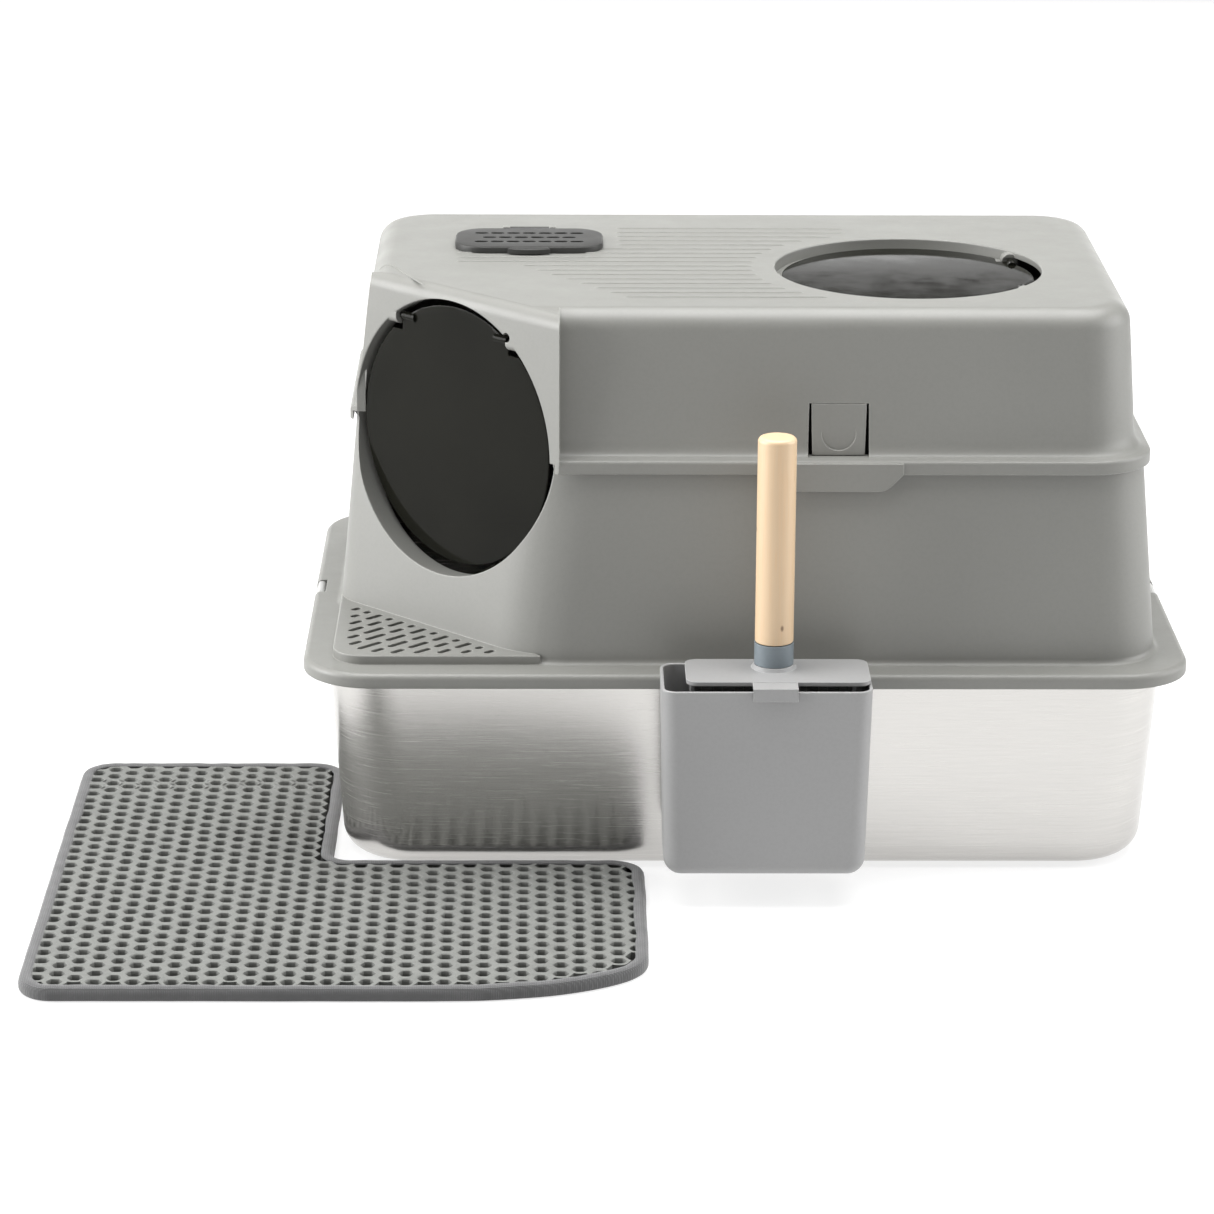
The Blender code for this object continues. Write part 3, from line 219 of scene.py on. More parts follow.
CAMERA_LENS = 126.05
CAMERA_PLACE = (-0.12658, -2.89473, 1.04371)
CAMERA_PITCH = 0.3056
CAMERA_YAW = 0.0118
CAMERA_ROLL = 0.0048
LIGHTS = (                      # name, place, target, size and power
    ("overhead", (0.0, 0.05, 2.3), (0.0, 0.0, 0.3), (3.0, 2.0), 118.0),
    ("left_soft", (-2.6, -0.3, 1.0), (-0.2, 0.0, 0.2), (2.2, 1.8), 105.0),
    ("right_soft", (2.6, -0.2, 1.0), (0.2, 0.0, 0.2), (2.2, 1.8), 55.0),
    ("back_card", (0.0, 3.45, 0.62), (0.0, 0.0, 0.62), (4.0, 1.1), 26.0),
)

ROOT2 = math.sqrt(2)
Z = Vector((0.0, 0.0, 1.0))
ACROSS = Vector((1.0, -1.0, 0.0)).normalized()
FACING = Vector((-1.0, -1.0, 0.0)).normalized()
CHAMFER_OUT = FACING * math.cos(CHAMFER_DRAFT) + Z * math.sin(CHAMFER_DRAFT)


# ---- materials ------------------------------------------------------------------------------
def feed(tree, socket, value):
    """Give a socket a constant, or the output that drives it."""
    if isinstance(value, bpy.types.NodeSocket):
        tree.links.new(value, socket)
    else:
        socket.default_value = value


def add_node(tree, kind, inputs=None, **settings):
    made = tree.nodes.new("ShaderNode" + kind)
    for key, value in settings.items():
        setattr(made, key, value)
    for socket, value in (inputs or {}).items():
        feed(tree, made.inputs[socket], value)
    return made


def new_material(name, colour, roughness, metallic=0.0, **sockets):
    """Principled material with its constant values on the shader's own sockets."""
    made = bpy.data.materials.new(name)
    made.use_nodes = True
    shader = made.node_tree.nodes["Principled BSDF"]
    sockets.update(Base_Color=(*colour, 1.0), Roughness=roughness, Metallic=metallic)
    for socket, value in sockets.items():
        shader.inputs[socket.replace("_", " ")].default_value = value
    return made, made.node_tree, shader


def drive(tree, shader, colour, roughness=None):
    """Link the surface's colour and, where it varies, its roughness."""
    tree.links.new(colour, shader.inputs["Base Color"])
    if roughness is not None:
        tree.links.new(roughness, shader.inputs["Roughness"])


def coordinates(tree, stretch=(1.0, 1.0, 1.0)):
    place = add_node(tree, "TexCoord").outputs["Object"]
    return add_node(tree, "Mapping", {"Vector": place, "Scale": stretch}).outputs["Vector"]


def noise_value(tree, scale, detail=3.0, stretch=(1.0, 1.0, 1.0), rough=0.55, distortion=0.0):
    inputs = {"Vector": coordinates(tree, stretch), "Scale": scale, "Detail": detail, "Roughness": rough,
              "Distortion": distortion}
    return add_node(tree, "TexNoise", inputs).outputs["Fac"]


def cell_distance(tree, scale, stretch=(1.0, 1.0, 1.0)):
    made = add_node(tree, "TexVoronoi", {"Vector": coordinates(tree, stretch), "Scale": scale})
    return made.outputs["Distance"]


def remap(tree, value, low, high, start=0.3, end=0.7):
    inputs = {"Value": value, "From Min": start, "From Max": end, "To Min": low, "To Max": high}
    return add_node(tree, "MapRange", inputs).outputs["Result"]


def ramp(tree, value, *stops):
    """Colour ramp from (position, colour) stops."""
    made = add_node(tree, "ValToRGB", {"Fac": value})
    elements = made.color_ramp.elements
    while len(elements) < len(stops):
        elements.new(0.5)
    for element, (position, colour) in zip(elements, stops):
        element.position = position
        element.color = (*colour, 1.0)
    return made.outputs["Color"]


def shade(colour, factor):
    return tuple(min(channel * factor, 1.0) for channel in colour)


def shaded(tree, value, colour, dark, light, start=0.3, end=0.7):
    """Ramp from a darker to a lighter shade of one colour."""
    return ramp(tree, value, (start, shade(colour, dark)), (end, shade(colour, light)))


def mixed(tree, factor, first, second):
    """Blend of two colours, each a tuple or an output."""
    made = add_node(tree, "Mix", data_type="RGBA")
    for place, value in zip((0, 6, 7), (factor, first, second)):
        feed(tree, made.inputs[place], (*value, 1.0) if isinstance(value, tuple) else value)
    return made.outputs[2]


def bump(tree, shader, height, distance, strength, under=None):
    made = add_node(tree, "Bump", {"Height": height, "Distance": distance, "Strength": strength})
    if under is not None:
        tree.links.new(under, made.inputs["Normal"])
    tree.links.new(made.outputs["Normal"], shader.inputs["Normal"])


def edge_share(tree, rounded):
    """How far the rounded normal turns from the true one: 0 on faces, 1 on edges."""
    true = add_node(tree, "NewGeometry").outputs["Normal"]
    turn = add_node(tree, "VectorMath", {0: rounded, 1: true}, operation="DOT_PRODUCT")
    return remap(tree, turn.outputs["Value"], 1.0, 0.0, 0.86, 0.985)


def moulded(name, colour, roughness, edge=0.0009, **sockets):
    """Moulded plastic: spark-eroded grain, faint flow mottling, edges rounded in shading and painted lighter
    as a highlight.
    """
    made, tree, shader = new_material(name, colour, roughness, **sockets)
    body = shaded(tree, noise_value(tree, 7.0, 4.0), colour, 0.965, 1.035)
    pits = noise_value(tree, 420.0, 2.0)
    speck = ramp(tree, pits, (0.38, shade(colour, 0.93)), (0.55, colour))
    base = mixed(tree, 0.35, body, speck)
    rounded = add_node(tree, "Bevel", {"Radius": edge}, samples=4).outputs["Normal"]
    # painted highlight: the edges are mixed toward a lighter shade of the colour, standing in for light
    # caught on them
    base = mixed(tree, edge_share(tree, rounded), base, shade(colour, EDGE_HIGHLIGHT))
    handled = noise_value(tree, 28.0, 5.0)
    drive(tree, shader, base, remap(tree, handled, roughness - 0.05, roughness + 0.07))
    bump(tree, shader, noise_value(tree, 1500.0, 2.0), 0.00005, 0.5, rounded)
    return made


def brushed_steel(name):
    """Steel brushed along the horizontal, with a little handling haze."""
    colour = (0.585, 0.572, 0.553)
    made, tree, shader = new_material(name, colour, 0.22, 1.0, Anisotropic=0.5, Anisotropic_Rotation=0.25)
    lines = noise_value(tree, 60.0, 6.0, (0.35, 0.35, 42.0), 0.7)
    tint = shaded(tree, lines, colour, 0.86, 1.10, 0.25, 0.75)
    haze = noise_value(tree, 6.0, 4.0)
    tint = mixed(tree, remap(tree, haze, 0.0, 0.20), tint, shade(colour, 0.90))
    drive(tree, shader, tint, remap(tree, lines, 0.15, 0.30))
    tangent = add_node(tree, "Tangent", direction_type="RADIAL", axis="Z")
    tree.links.new(tangent.outputs["Tangent"], shader.inputs["Tangent"])
    bump(tree, shader, lines, 0.00003, 0.35)
    return made


def plain_steel(name):
    colour = (0.55, 0.55, 0.54)
    made, tree, shader = new_material(name, colour, 0.32, 1.0)
    marks = noise_value(tree, 900.0, 4.0, (1.0, 1.0, 0.2))
    drive(tree, shader, shaded(tree, marks, colour, 0.8, 1.1), remap(tree, marks, 0.25, 0.42))
    bump(tree, shader, marks, 0.00002, 0.4)
    return made


def smoked(name, opacity):
    """Smoke-tinted clear plastic with fine rub marks in its gloss."""
    colour = (0.008, 0.008, 0.006)
    clear = {"IOR": 1.49, "Alpha": opacity, "Specular_IOR_Level": 0.08}
    made, tree, shader = new_material(name, colour, 0.07, **clear)
    streaks = noise_value(tree, 45.0, 6.0, (1.0, 1.0, 0.15))
    cloud = noise_value(tree, 9.0, 3.0)
    drive(tree, shader, shaded(tree, cloud, colour, 0.8, 1.3), remap(tree, streaks, 0.05, 0.12))
    bump(tree, shader, noise_value(tree, 30.0, 2.0), 0.00004, 0.15)
    return made


def beech(name):
    """Turned beech under satin varnish: pores along the grain, growth bands, a few pin knots."""
    pale = (0.64, 0.47, 0.30)
    dark = (0.62, 0.41, 0.235)
    knot = (0.16, 0.085, 0.045)
    made, tree, shader = new_material(name, pale, 0.42, Coat_Weight=0.18, Coat_Roughness=0.25)
    bands = noise_value(tree, 38.0, 5.0, (1.0, 1.0, 0.10), 0.6, 0.7)
    grain = ramp(tree, bands, (0.30, pale), (0.52, shade(pale, 0.93)), (0.72, shade(dark, 1.12)))
    pores = noise_value(tree, 900.0, 3.0, (1.0, 1.0, 0.045), 0.6)
    grain = mixed(tree, remap(tree, pores, 0.0, 0.45, 0.52, 0.70), grain, dark)
    spots = cell_distance(tree, 75.0, (1.0, 1.0, 0.55))
    grain = mixed(tree, remap(tree, spots, 0.85, 0.0, 0.050, 0.110), grain, knot)
    drive(tree, shader, grain, remap(tree, pores, 0.36, 0.52))
    bump(tree, shader, pores, 0.00008, 0.4)
    return made


def foam(name, colour, pore=1100.0):
    """Closed-cell foam: matt, speckled, with fine open pores."""
    made, tree, shader = new_material(name, colour, 0.78)
    fine = shaded(tree, cell_distance(tree, pore), colour, 1.14, 0.80, 0.10, 0.75)
    patches = noise_value(tree, 65.0, 4.0)
    body = shaded(tree, patches, colour, 0.84, 1.16, 0.32, 0.68)
    drive(tree, shader, mixed(tree, 0.5, fine, body), remap(tree, patches, 0.66, 0.88))
    bump(tree, shader, noise_value(tree, 330.0, 3.0), 0.00035, 0.8)
    return made


def woven(name, colour, thread=1300.0):
    """Narrow woven tape: crossed threads over a soft sheen."""
    made, tree, shader = new_material(name, colour, 0.9, Sheen_Weight=0.3, Sheen_Roughness=0.5)
    wave = {"Scale": thread / 6.0, "Distortion": 1.4, "Detail": 2.0}
    weave = {}
    for index, direction in enumerate(("X", "Y")):
        inputs = {"Vector": coordinates(tree), **wave}
        weave[index] = add_node(tree, "TexWave", inputs, bands_direction=direction).outputs["Fac"]
    crossed = add_node(tree, "Math", weave, operation="MULTIPLY").outputs["Value"]
    threads = shaded(tree, crossed, colour, 0.72, 1.18, 0.0, 0.8)
    body = shaded(tree, noise_value(tree, 55.0, 4.0), colour, 0.85, 1.2)
    drive(tree, shader, mixed(tree, 0.45, threads, body))
    bump(tree, shader, crossed, 0.0003, 0.6)
    return made


SHELL_GREY = (0.205, 0.205, 0.191)
HOLDER_GREY = (0.285, 0.285, 0.285)

SKINS = {
    "pan_steel": brushed_steel("brushed_pan_steel"),
    "enclosure_plastic": moulded("satin_shell_grey", SHELL_GREY, 0.42),
    "clip_plastic": moulded("clip_light_grey", (0.42, 0.42, 0.41), 0.40, edge=0.0004),
    "pin_steel": plain_steel("zinc_steel"),
    "pin_dark": moulded("nylon_dark", (0.03, 0.03, 0.03), 0.45, edge=0.0003),
    "tinted_plastic": smoked("smoke_tint", 0.91),
    "charcoal_plastic": moulded(
        "charcoal_cover", (0.042, 0.042, 0.040), 0.42, 0.0005, Specular_IOR_Level=0.3,
    ),
    "carbon_felt": foam("carbon_felt_black", (0.022, 0.022, 0.022), 700.0),
    "holder_plastic": moulded("holder_neutral_grey", HOLDER_GREY, 0.44, edge=0.0006),
    "ferrule_plastic": moulded("ferrule_blue_grey", (0.165, 0.195, 0.215), 0.34, edge=0.0005),
    "beech_wood": beech("turned_beech"),
    "mat_foam": foam("honeycomb_foam", (0.165, 0.169, 0.159)),
    "mat_foam_dark": foam("backing_foam", (0.065, 0.065, 0.061)),
    "mat_fabric": woven("binding_tape", (0.085, 0.085, 0.086)),
}
NODE_SLOTS = {part["node"]: part["material_slot"] for part in frame["record"]["subparts"]}


# ---- mesh helpers ---------------------------------------------------------------------------
def smoothing_group():
    """Geometry nodes that close a facet soup and smooth it everywhere but over sharp edges."""
    group = bpy.data.node_groups.new("smooth_over_facets", "GeometryNodeTree")
    group.interface.new_socket("Geometry", in_out="INPUT", socket_type="NodeSocketGeometry")
    group.interface.new_socket("Geometry", in_out="OUTPUT", socket_type="NodeSocketGeometry")
    start = group.nodes.new("NodeGroupInput")
    weld = group.nodes.new("GeometryNodeMergeByDistance")
    weld.inputs["Distance"].default_value = 0.00001
    plain = group.nodes.new("GeometryNodeRemoveAttribute")
    plain.inputs["Name"].default_value = "custom_normal"
    faces = group.nodes.new("GeometryNodeSetShadeSmooth")
    faces.domain = "FACE"
    edges = group.nodes.new("GeometryNodeSetShadeSmooth")
    edges.domain = "EDGE"
    edges.inputs["Shade Smooth"].default_value = False
    angle = group.nodes.new("GeometryNodeInputMeshEdgeAngle")
    sharp = group.nodes.new("FunctionNodeCompare")
    sharp.data_type = "FLOAT"
    sharp.operation = "GREATER_THAN"
    sharp.inputs[1].default_value = SHARP_ANGLE
    end = group.nodes.new("NodeGroupOutput")
    link = group.links.new
    link(start.outputs[0], weld.inputs["Geometry"])
    link(weld.outputs["Geometry"], plain.inputs["Geometry"])
    link(plain.outputs["Geometry"], faces.inputs["Geometry"])
    link(faces.outputs["Geometry"], edges.inputs["Geometry"])
    link(angle.outputs["Unsigned Angle"], sharp.inputs[0])
    link(sharp.outputs["Result"], edges.inputs["Selection"])
    link(edges.outputs["Geometry"], end.inputs[0])
    return group


SMOOTHING = smoothing_group()


def smooth_facets(obj):
    step = obj.modifiers.new("Smooth", "NODES")
    step.node_group = SMOOTHING
    weighted = obj.modifiers.new("Weighted", "WEIGHTED_NORMAL")
    weighted.keep_sharp = True


def add_object(name, bm):
    bmesh.ops.recalc_face_normals(bm, faces=bm.faces)
    mesh = bpy.data.meshes.new(name)
    bm.to_mesh(mesh)
    bm.free()
    obj = bpy.data.objects.new(name, mesh)
    bpy.context.scene.collection.objects.link(obj)
    return obj


def combine(target, tool, operation):
    """Apply one exact boolean to target and drop the tool."""
    bpy.context.view_layer.update()
    step = target.modifiers.new(operation.title(), "BOOLEAN")
    step.operation = operation
    step.solver = "EXACT"
    step.object = tool
    bpy.context.view_layer.update()
    graph = bpy.context.evaluated_depsgraph_get()
    result = bpy.data.meshes.new_from_object(target.evaluated_get(graph))
    target.modifiers.clear()
    target.data = result
    bpy.data.objects.remove(tool, do_unlink=True)


def subtract(target, *tools):
    for tool in tools:
        combine(target, tool, "DIFFERENCE")


def join(target, *tools):
    for tool in tools:
        combine(target, tool, "UNION")


def gather(tools, name="tools"):
    """Several separate pieces as one object."""
    bm = bmesh.new()
    for tool in tools:
        bm.from_mesh(tool.data)
        bpy.data.objects.remove(tool, do_unlink=True)
    return add_object(name, bm)


def finish(obj, slot, body, *replaced):
    """Clean up after the booleans, then dress the piece."""
    bm = bmesh.new()
    bm.from_mesh(obj.data)
    bmesh.ops.remove_doubles(bm, verts=bm.verts, dist=0.00002)
    bmesh.ops.dissolve_limit(bm, angle_limit=math.radians(0.2), verts=bm.verts, edges=bm.edges)
    bmesh.ops.triangulate(bm, faces=[face for face in bm.faces if len(face.verts) > 4])
    bm.to_mesh(obj.data)
    bm.free()
    dress(obj, slot, body, *replaced)


def dress(obj, slot, body, *replaced):
    """Give a piece its finish and its place in the model."""
    obj.data.materials.clear()
    obj.data.materials.append(SKINS[slot])
    smooth_facets(obj)
    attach(obj, body)
    if replaced:
        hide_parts(*replaced)


def loft(rings, name="tool", closed=False):
    """Skin a stack of rings that hold the same number of points."""
    bm = bmesh.new()
    rows = [[bm.verts.new(point) for point in ring] for ring in rings]
    pairs = list(zip(rows, rows[1:]))
    if closed:
        pairs.append((rows[-1], rows[0]))
    for low, high in pairs:
        for index in range(len(low)):
            after = (index + 1) % len(low)
            bm.faces.new((low[index], low[after], high[after], high[index]))
    if not closed:
        bm.faces.new(rows[0])
        bm.faces.new(rows[-1])
    return add_object(name, bm)


def arc(centre, radius, start, end, steps):
    angles = [start + (end - start) * step / steps for step in range(steps + 1)]
    return [(centre[0] + radius * math.cos(a), centre[1] + radius * math.sin(a)) for a in angles]


def quarter(steps):
    """(1 - cos, sin) of evenly spaced angles from 0 to 90 degrees."""
    angles = [math.pi / 2 * step / steps for step in range(steps + 1)]
    return [(1 - math.cos(a), math.sin(a)) for a in angles]


def rounded_box(half, corner, z, centre=(0.0, 0.0), split=False, steps=CORNER_STEPS):
    """Plan ring, anticlockwise; split gives the front-left corner twice the points."""
    right_angle = math.pi / 2
    points = []
    for turn, (sx, sy) in enumerate(((1, -1), (1, 1), (-1, 1), (-1, -1))):
        middle = (centre[0] + sx * (half[0] - corner), centre[1] + sy * (half[1] - corner))
        start = -right_angle + turn * right_angle
        count = steps * 2 + 1 if split and turn == 3 else steps
        points += arc(middle, corner, start, start + right_angle, count)
    return [Vector((x, y, z)) for x, y in points]


def shrunk_box(half, corner, inset, z, **shape):
    """Plan ring of a box moved inward by inset."""
    return rounded_box([h - inset for h in half], corner - inset, z, **shape)


def box(low, high):
    bm = bmesh.new()
    bmesh.ops.create_cube(bm, size=1.0)
    bmesh.ops.scale(bm, vec=Vector(high) - Vector(low), verts=bm.verts)
    bmesh.ops.translate(bm, vec=(Vector(low) + Vector(high)) / 2, verts=bm.verts)
    return add_object("tool", bm)


def span(side, near, far):
    """The two distances on the given side of the middle, in rising order."""
    return sorted((side * near, side * far))


def turned(profile, start, axis, sides, name="tool"):
    """Solid of revolution from (radius, distance along the axis) pairs."""
    axis = Vector(axis).normalized()
    side = axis.orthogonal().normalized()
    other = axis.cross(side)
    turns = [math.tau * step / sides for step in range(sides)]
    rings = []
    for radius, along in profile:
        centre = Vector(start) + axis * along
        rings.append([centre + (side * math.cos(a) + other * math.sin(a)) * radius for a in turns])
    return loft(rings, name)


def cylinder(radius, start, end, sides=32):
    axis = Vector(end) - Vector(start)
    return turned([(radius, 0.0), (radius, axis.length)], start, axis, sides)


def prism(outline, low, high):
    return loft([[Vector((point[0], point[1], z)) for point in outline] for z in (low, high)])


def stadium(centre, half_length, half_width, angle, steps=6):
    along = Vector((math.cos(angle), math.sin(angle)))
    points = []
    for side in (1, -1):
        end = Vector(centre) + along * half_length * side
        start = angle - side * math.pi / 2
        points += arc(end, half_width, start, start + math.pi, steps)
    return points


def mouth_bore(radius, face, outward, inside, outside=0.030):
    """Bore whose edge at the face is rounded: face is the middle of the opening."""
    profile = [(radius, -inside)]
    for step in range(6):
        down = MOUTH * (1 - step / 5)
        profile.append((radius + MOUTH - math.sqrt(MOUTH ** 2 - (MOUTH - down) ** 2), -down))
    clear = radius + MOUTH + GAP
    profile += [(clear, GAP), (clear, outside)]
    return turned(profile, face, outward, BORE_SIDES)


# ---- entry geometry -------------------------------------------------------------------------
def chamfer_sum(z, inset=0.0):
    """x + y of the chamfer line at a height, moved inward by the given distance."""
    centre_sum = ENTRY_CENTRE.x + ENTRY_CENTRE.y
    return centre_sum + ROOT2 * (math.tan(CHAMFER_DRAFT) * min(z - SEAM, 0.0) + inset)


def chamfered_box(half, corner, z, inset=0.0):
    """Plan ring with the entry chamfer across its front-left corner."""
    total = chamfer_sum(z, inset)
    ring = rounded_box(half, corner, z)[:3 * (CORNER_STEPS + 1)]
    left_blend, front_blend = CHAMFER_BLEND
    share = math.tan(math.pi / 8)
    left = (-half[0] + left_blend, total + half[0] + left_blend * share)
    front = (total + half[1] + front_blend * share, -half[1] + front_blend)
    turns = arc(left, left_blend, math.pi, math.pi * 1.25, CORNER_STEPS)
    turns += arc(front, front_blend, math.pi * 1.25, math.pi * 1.5, CORNER_STEPS)
    return ring + [Vector((x, y, z)) for x, y in turns]


def behind_panel(inset, radius, top):
    """Block whose face lies on the upright entry panel, with a round between that face and its top."""
    reach = 1.5
    low = -0.5
    profile = [(-reach, low), (-inset, low)]
    profile += arc((-inset - radius, top - radius - SEAM), radius, 0.0, math.pi / 2, FILLET_STEPS)
    profile.append((-reach, top - SEAM))
    rings = [[ENTRY_CENTRE + ACROSS * side * reach + FACING * out + Z * up for out, up in profile]
             for side in (-1, 1)]
    return loft(rings)


def collar_bar(facing, inside):
    return cylinder(ENTRY_RADIUS + COLLAR_WALL, ENTRY_CENTRE - facing * inside,
                    ENTRY_CENTRE + facing * COLLAR_OUT, BORE_SIDES)


def pivot_reach(radius):
    """Half the length of a flap's pivot chord inside an opening of the given radius."""
    return math.sqrt((radius - FLAP_CLEAR) ** 2 - PIVOT_HEIGHT ** 2)


def entry_axis():
    return ENTRY_CENTRE + Z * PIVOT_HEIGHT - FACING * FLAP_DEPTH


def exit_axis():
    return Vector((EXIT_CENTRE[0] + PIVOT_HEIGHT, EXIT_CENTRE[1], HEIGHT - EXIT_SINK - FLAP_THICK / 2))


def bearing(pivot, side):
    middle, along, reach = pivot
    start = middle + along * side * (reach + BEARING_START)
    return cylinder(BEARING_RADIUS, start, start + along * side * BEARING_LENGTH, 24)


# ---- pan ------------------------------------------------------------------------------------
def make_pan():
    def ring(inset, z, corner=PAN_CORNER):
        share = min(max((z - PAN_CURVE) / (PAN_TOP - PAN_CURVE), 0.0), 1.0)
        half = [foot + (top - foot) * share for foot, top in zip(PAN_FOOT, PAN_HALF)]
        return shrunk_box(half, corner, inset, z)

    def curve(wall):
        radius = PAN_CURVE - wall
        turns = quarter(FILLET_STEPS)
        return [ring(wall + radius * (1 - rise), wall + radius * away) for away, rise in turns]

    rim_low = PAN_TOP - RIM_DROP
    rim = (
        (STEEL + 0.001, PAN_TOP - STEEL),
        (STEEL, rim_low),
        (0.0, rim_low),
        (0.0, PAN_TOP - STEEL),
        (STEEL, PAN_TOP),
    )
    rings = curve(0.0)
    rings.append(ring(0.0, PAN_TOP - 0.0045))
    rings += [shrunk_box(PAN_RIM, RIM_CORNER, inset, z) for inset, z in rim]
    rings.append(ring(-GAP, PAN_TOP, PAN_CORNER + 0.0005))
    rings.append(ring(STEEL, PAN_TOP - 0.0025))
    rings += reversed(curve(STEEL))
    dress(loft(rings, "steel_pan_shell"), "pan_steel", "base", "stainless_pan")


# ---- enclosure ------------------------------------------------------------------------------
def tread_outline(inset, back):
    """Corner platform in front of the chamfer: a triangle with one round corner, its long side set back."""
    left = -WALL_FOOT[0] + inset
    front = -WALL_FOOT[1] + inset
    radius = TREAD_CORNER - inset
    total = chamfer_sum(FLANGE_TOP) + back
    points = arc((left + radius, front + radius), radius, math.pi, math.pi * 1.5, 12)
    return points + [(total - front, front), (left, total - left)]


def tread_slots():
    start = chamfer_sum(FLANGE_TOP) / ROOT2 - SLOT_MARGIN
    middle = (ENTRY_CENTRE.x - ENTRY_CENTRE.y) / ROOT2
    made = []
    for column in range(-SLOT_COLUMNS, SLOT_COLUMNS + 1):
        across = middle + column * SLOT_PITCH
        edge = max(SLOT_EDGE[1] * ROOT2 + across, SLOT_EDGE[0] * ROOT2 - across, SLOT_CORNER)
        for near, far in SLOT_SPANS[column % 2]:
            high = start - near
            low = max(start - far, edge)
            if high - low > 2 * SLOT_HALF_WIDTH:
                along = (high + low) / 2
                centre = ((along + across) / ROOT2, (along - across) / ROOT2)
                outline = stadium(centre, (high - low) / 2 - SLOT_HALF_WIDTH, SLOT_HALF_WIDTH, math.pi / 4)
                made.append(prism(outline, FLANGE_TOP, FLANGE_TOP + TREAD_RISE + 0.006))
    return made


def clip_notch(side):
    near, far = span(side, *CLIP_NOTCH)
    low = (near, CLIP_Y - CLIP_HALF, FLANGE_LIP - 0.010)
    return box(low, (far, CLIP_Y + CLIP_HALF, FLANGE_TOP + 0.010))


def clip_bearing(side, end):
    x = span(side, *CLIP_BEARING)
    y = sorted((CLIP_Y + end * (CLIP_HALF + GAP), CLIP_Y + end * (CLIP_HALF + 0.006)))
    return box((x[0], y[0], 0.1375), (x[1], y[1], FLANGE_TOP - 0.001))


def enclosure_shell():
    def flange(inset, z):
        return shrunk_box(FLANGE_HALF, FLANGE_CORNER, inset, z, split=True)

    def wall(half, out, z):
        return chamfered_box([h + out for h in half], WALL_CORNER + out, z, -out)

    def rim(out, corner, z):
        return chamfered_box([h + out for h in WALL_SEAM], corner, z)

    edge = 0.0040
    foot = 0.0043
    rim_corner = LIP_CORNER - LIP_WALL - GAP
    outer = [flange(0.0010, FLANGE_LIP), flange(GAP, FLANGE_LIP + GAP), flange(0.0, FLANGE_LIP + 0.0010)]
    outer += [flange(edge * away, FLANGE_TOP - edge + edge * rise) for away, rise in quarter(6)]
    for away, rise in quarter(6):
        outer.append(wall(WALL_FOOT, foot * (1 - rise) - GAP, FLANGE_TOP + foot * away))
    outer.append(rim(GAP, WALL_CORNER - 0.004, SEAM - 0.0045))
    outer += [rim(RIM_OUT, rim_corner, SEAM - 0.0025), rim(RIM_OUT, rim_corner, SEAM)]
    roof = FLANGE_TOP - 0.003
    inner = [flange(0.003, FLANGE_LIP - 0.010), flange(0.003, roof)]
    inner += [wall(WALL_FOOT, -PLASTIC, roof), wall(WALL_SEAM, -PLASTIC, SEAM + 0.010)]
    return loft(outer, "enclosure_shell"), loft(inner, "hollow")


def make_enclosure():
    shell, hollow = enclosure_shell()
    top = FLANGE_TOP + TREAD_RISE
    rows = ((0.0, FLANGE_TOP - 0.001), (0.0, top - 0.0012), (0.0003, top - 0.0005), (0.0012, top))
    tread = [[Vector((x, y, z)) for x, y in tread_outline(inset, TREAD_BACK)] for inset, z in rows]
    join(shell, loft(tread))
    collar = collar_bar(CHAMFER_OUT, COLLAR_LOW)
    subtract(collar, box((-0.5, -0.5, SEAM - 0.0004), (0.5, 0.5, 0.6)))
    subtract(hollow, collar)
    subtract(shell, hollow, mouth_bore(ENTRY_RADIUS, ENTRY_CENTRE, CHAMFER_OUT, BORE_REACH))
    subtract(shell, prism(tread_outline(TREAD_WALL, -TREAD_WALL * ROOT2), FLANGE_TOP - 0.006, top - PLASTIC))
    subtract(shell, gather(tread_slots()))
    reach = Vector((0.0, CLIP_HALF + 0.0045, 0.0))
    for side in (-1, 1):
        for end in (-1, 1):
            join(shell, clip_bearing(side, end))
        axis = Vector((side * CLIP_AXIS[0], CLIP_Y, CLIP_AXIS[1]))
        subtract(shell, clip_notch(side), cylinder(0.0016, axis - reach, axis + reach, 16))
    finish(shell, "enclosure_plastic", "base", "lower_enclosure")


# ---- hood -----------------------------------------------------------------------------------
def hood_rings(inset, bottom):
    low = [h - inset for h in HOOD_WALL_LOW]
    top = [h - inset for h in HOOD_WALL_TOP]
    corner = HOOD_CORNER - inset
    fillet = HOOD_FILLET - inset
    spring = HEIGHT - HOOD_FILLET
    rings = [rounded_box(low, corner, bottom)]
    for away, rise in quarter(FILLET_STEPS):
        rings.append(shrunk_box(top, corner - 0.001, fillet * away, spring + fillet * rise))
    return rings


def boss_left(z):
    """x of the boss's left side at a height."""
    for (low, start), (high, end) in zip(BOSS_LEFT, BOSS_LEFT[1:]):
        if z <= high:
            return start + (end - start) * max(z - low, 0.0) / (high - low)
    return BOSS_LEFT[-1][1]


def entry_boss(inset, bottom):
    """Raised corner block that carries the entry panel, flared at its left and rounded along its back."""
    top = HEIGHT - BOSS_DROP - inset
    back = BOSS_BACK - inset
    front = -0.200
    right = BOSS_RIGHT - inset
    radius = BOSS_ROUND - inset
    levels = [(bottom, back)]
    levels += [(z, back) for z, x in BOSS_LEFT if bottom + 0.002 < z < top - radius - 0.002]
    levels += [(z, y) for y, z in arc((back - radius, top - radius), radius, 0.0, math.pi / 2, FILLET_STEPS)]
    rings = []
    for z, y in levels:
        left = boss_left(z) + inset
        corners = ((left, front), (right, front), (right, y), (left, y))
        rings.append([Vector((*corner, z)) for corner in corners])
    return loft(rings)


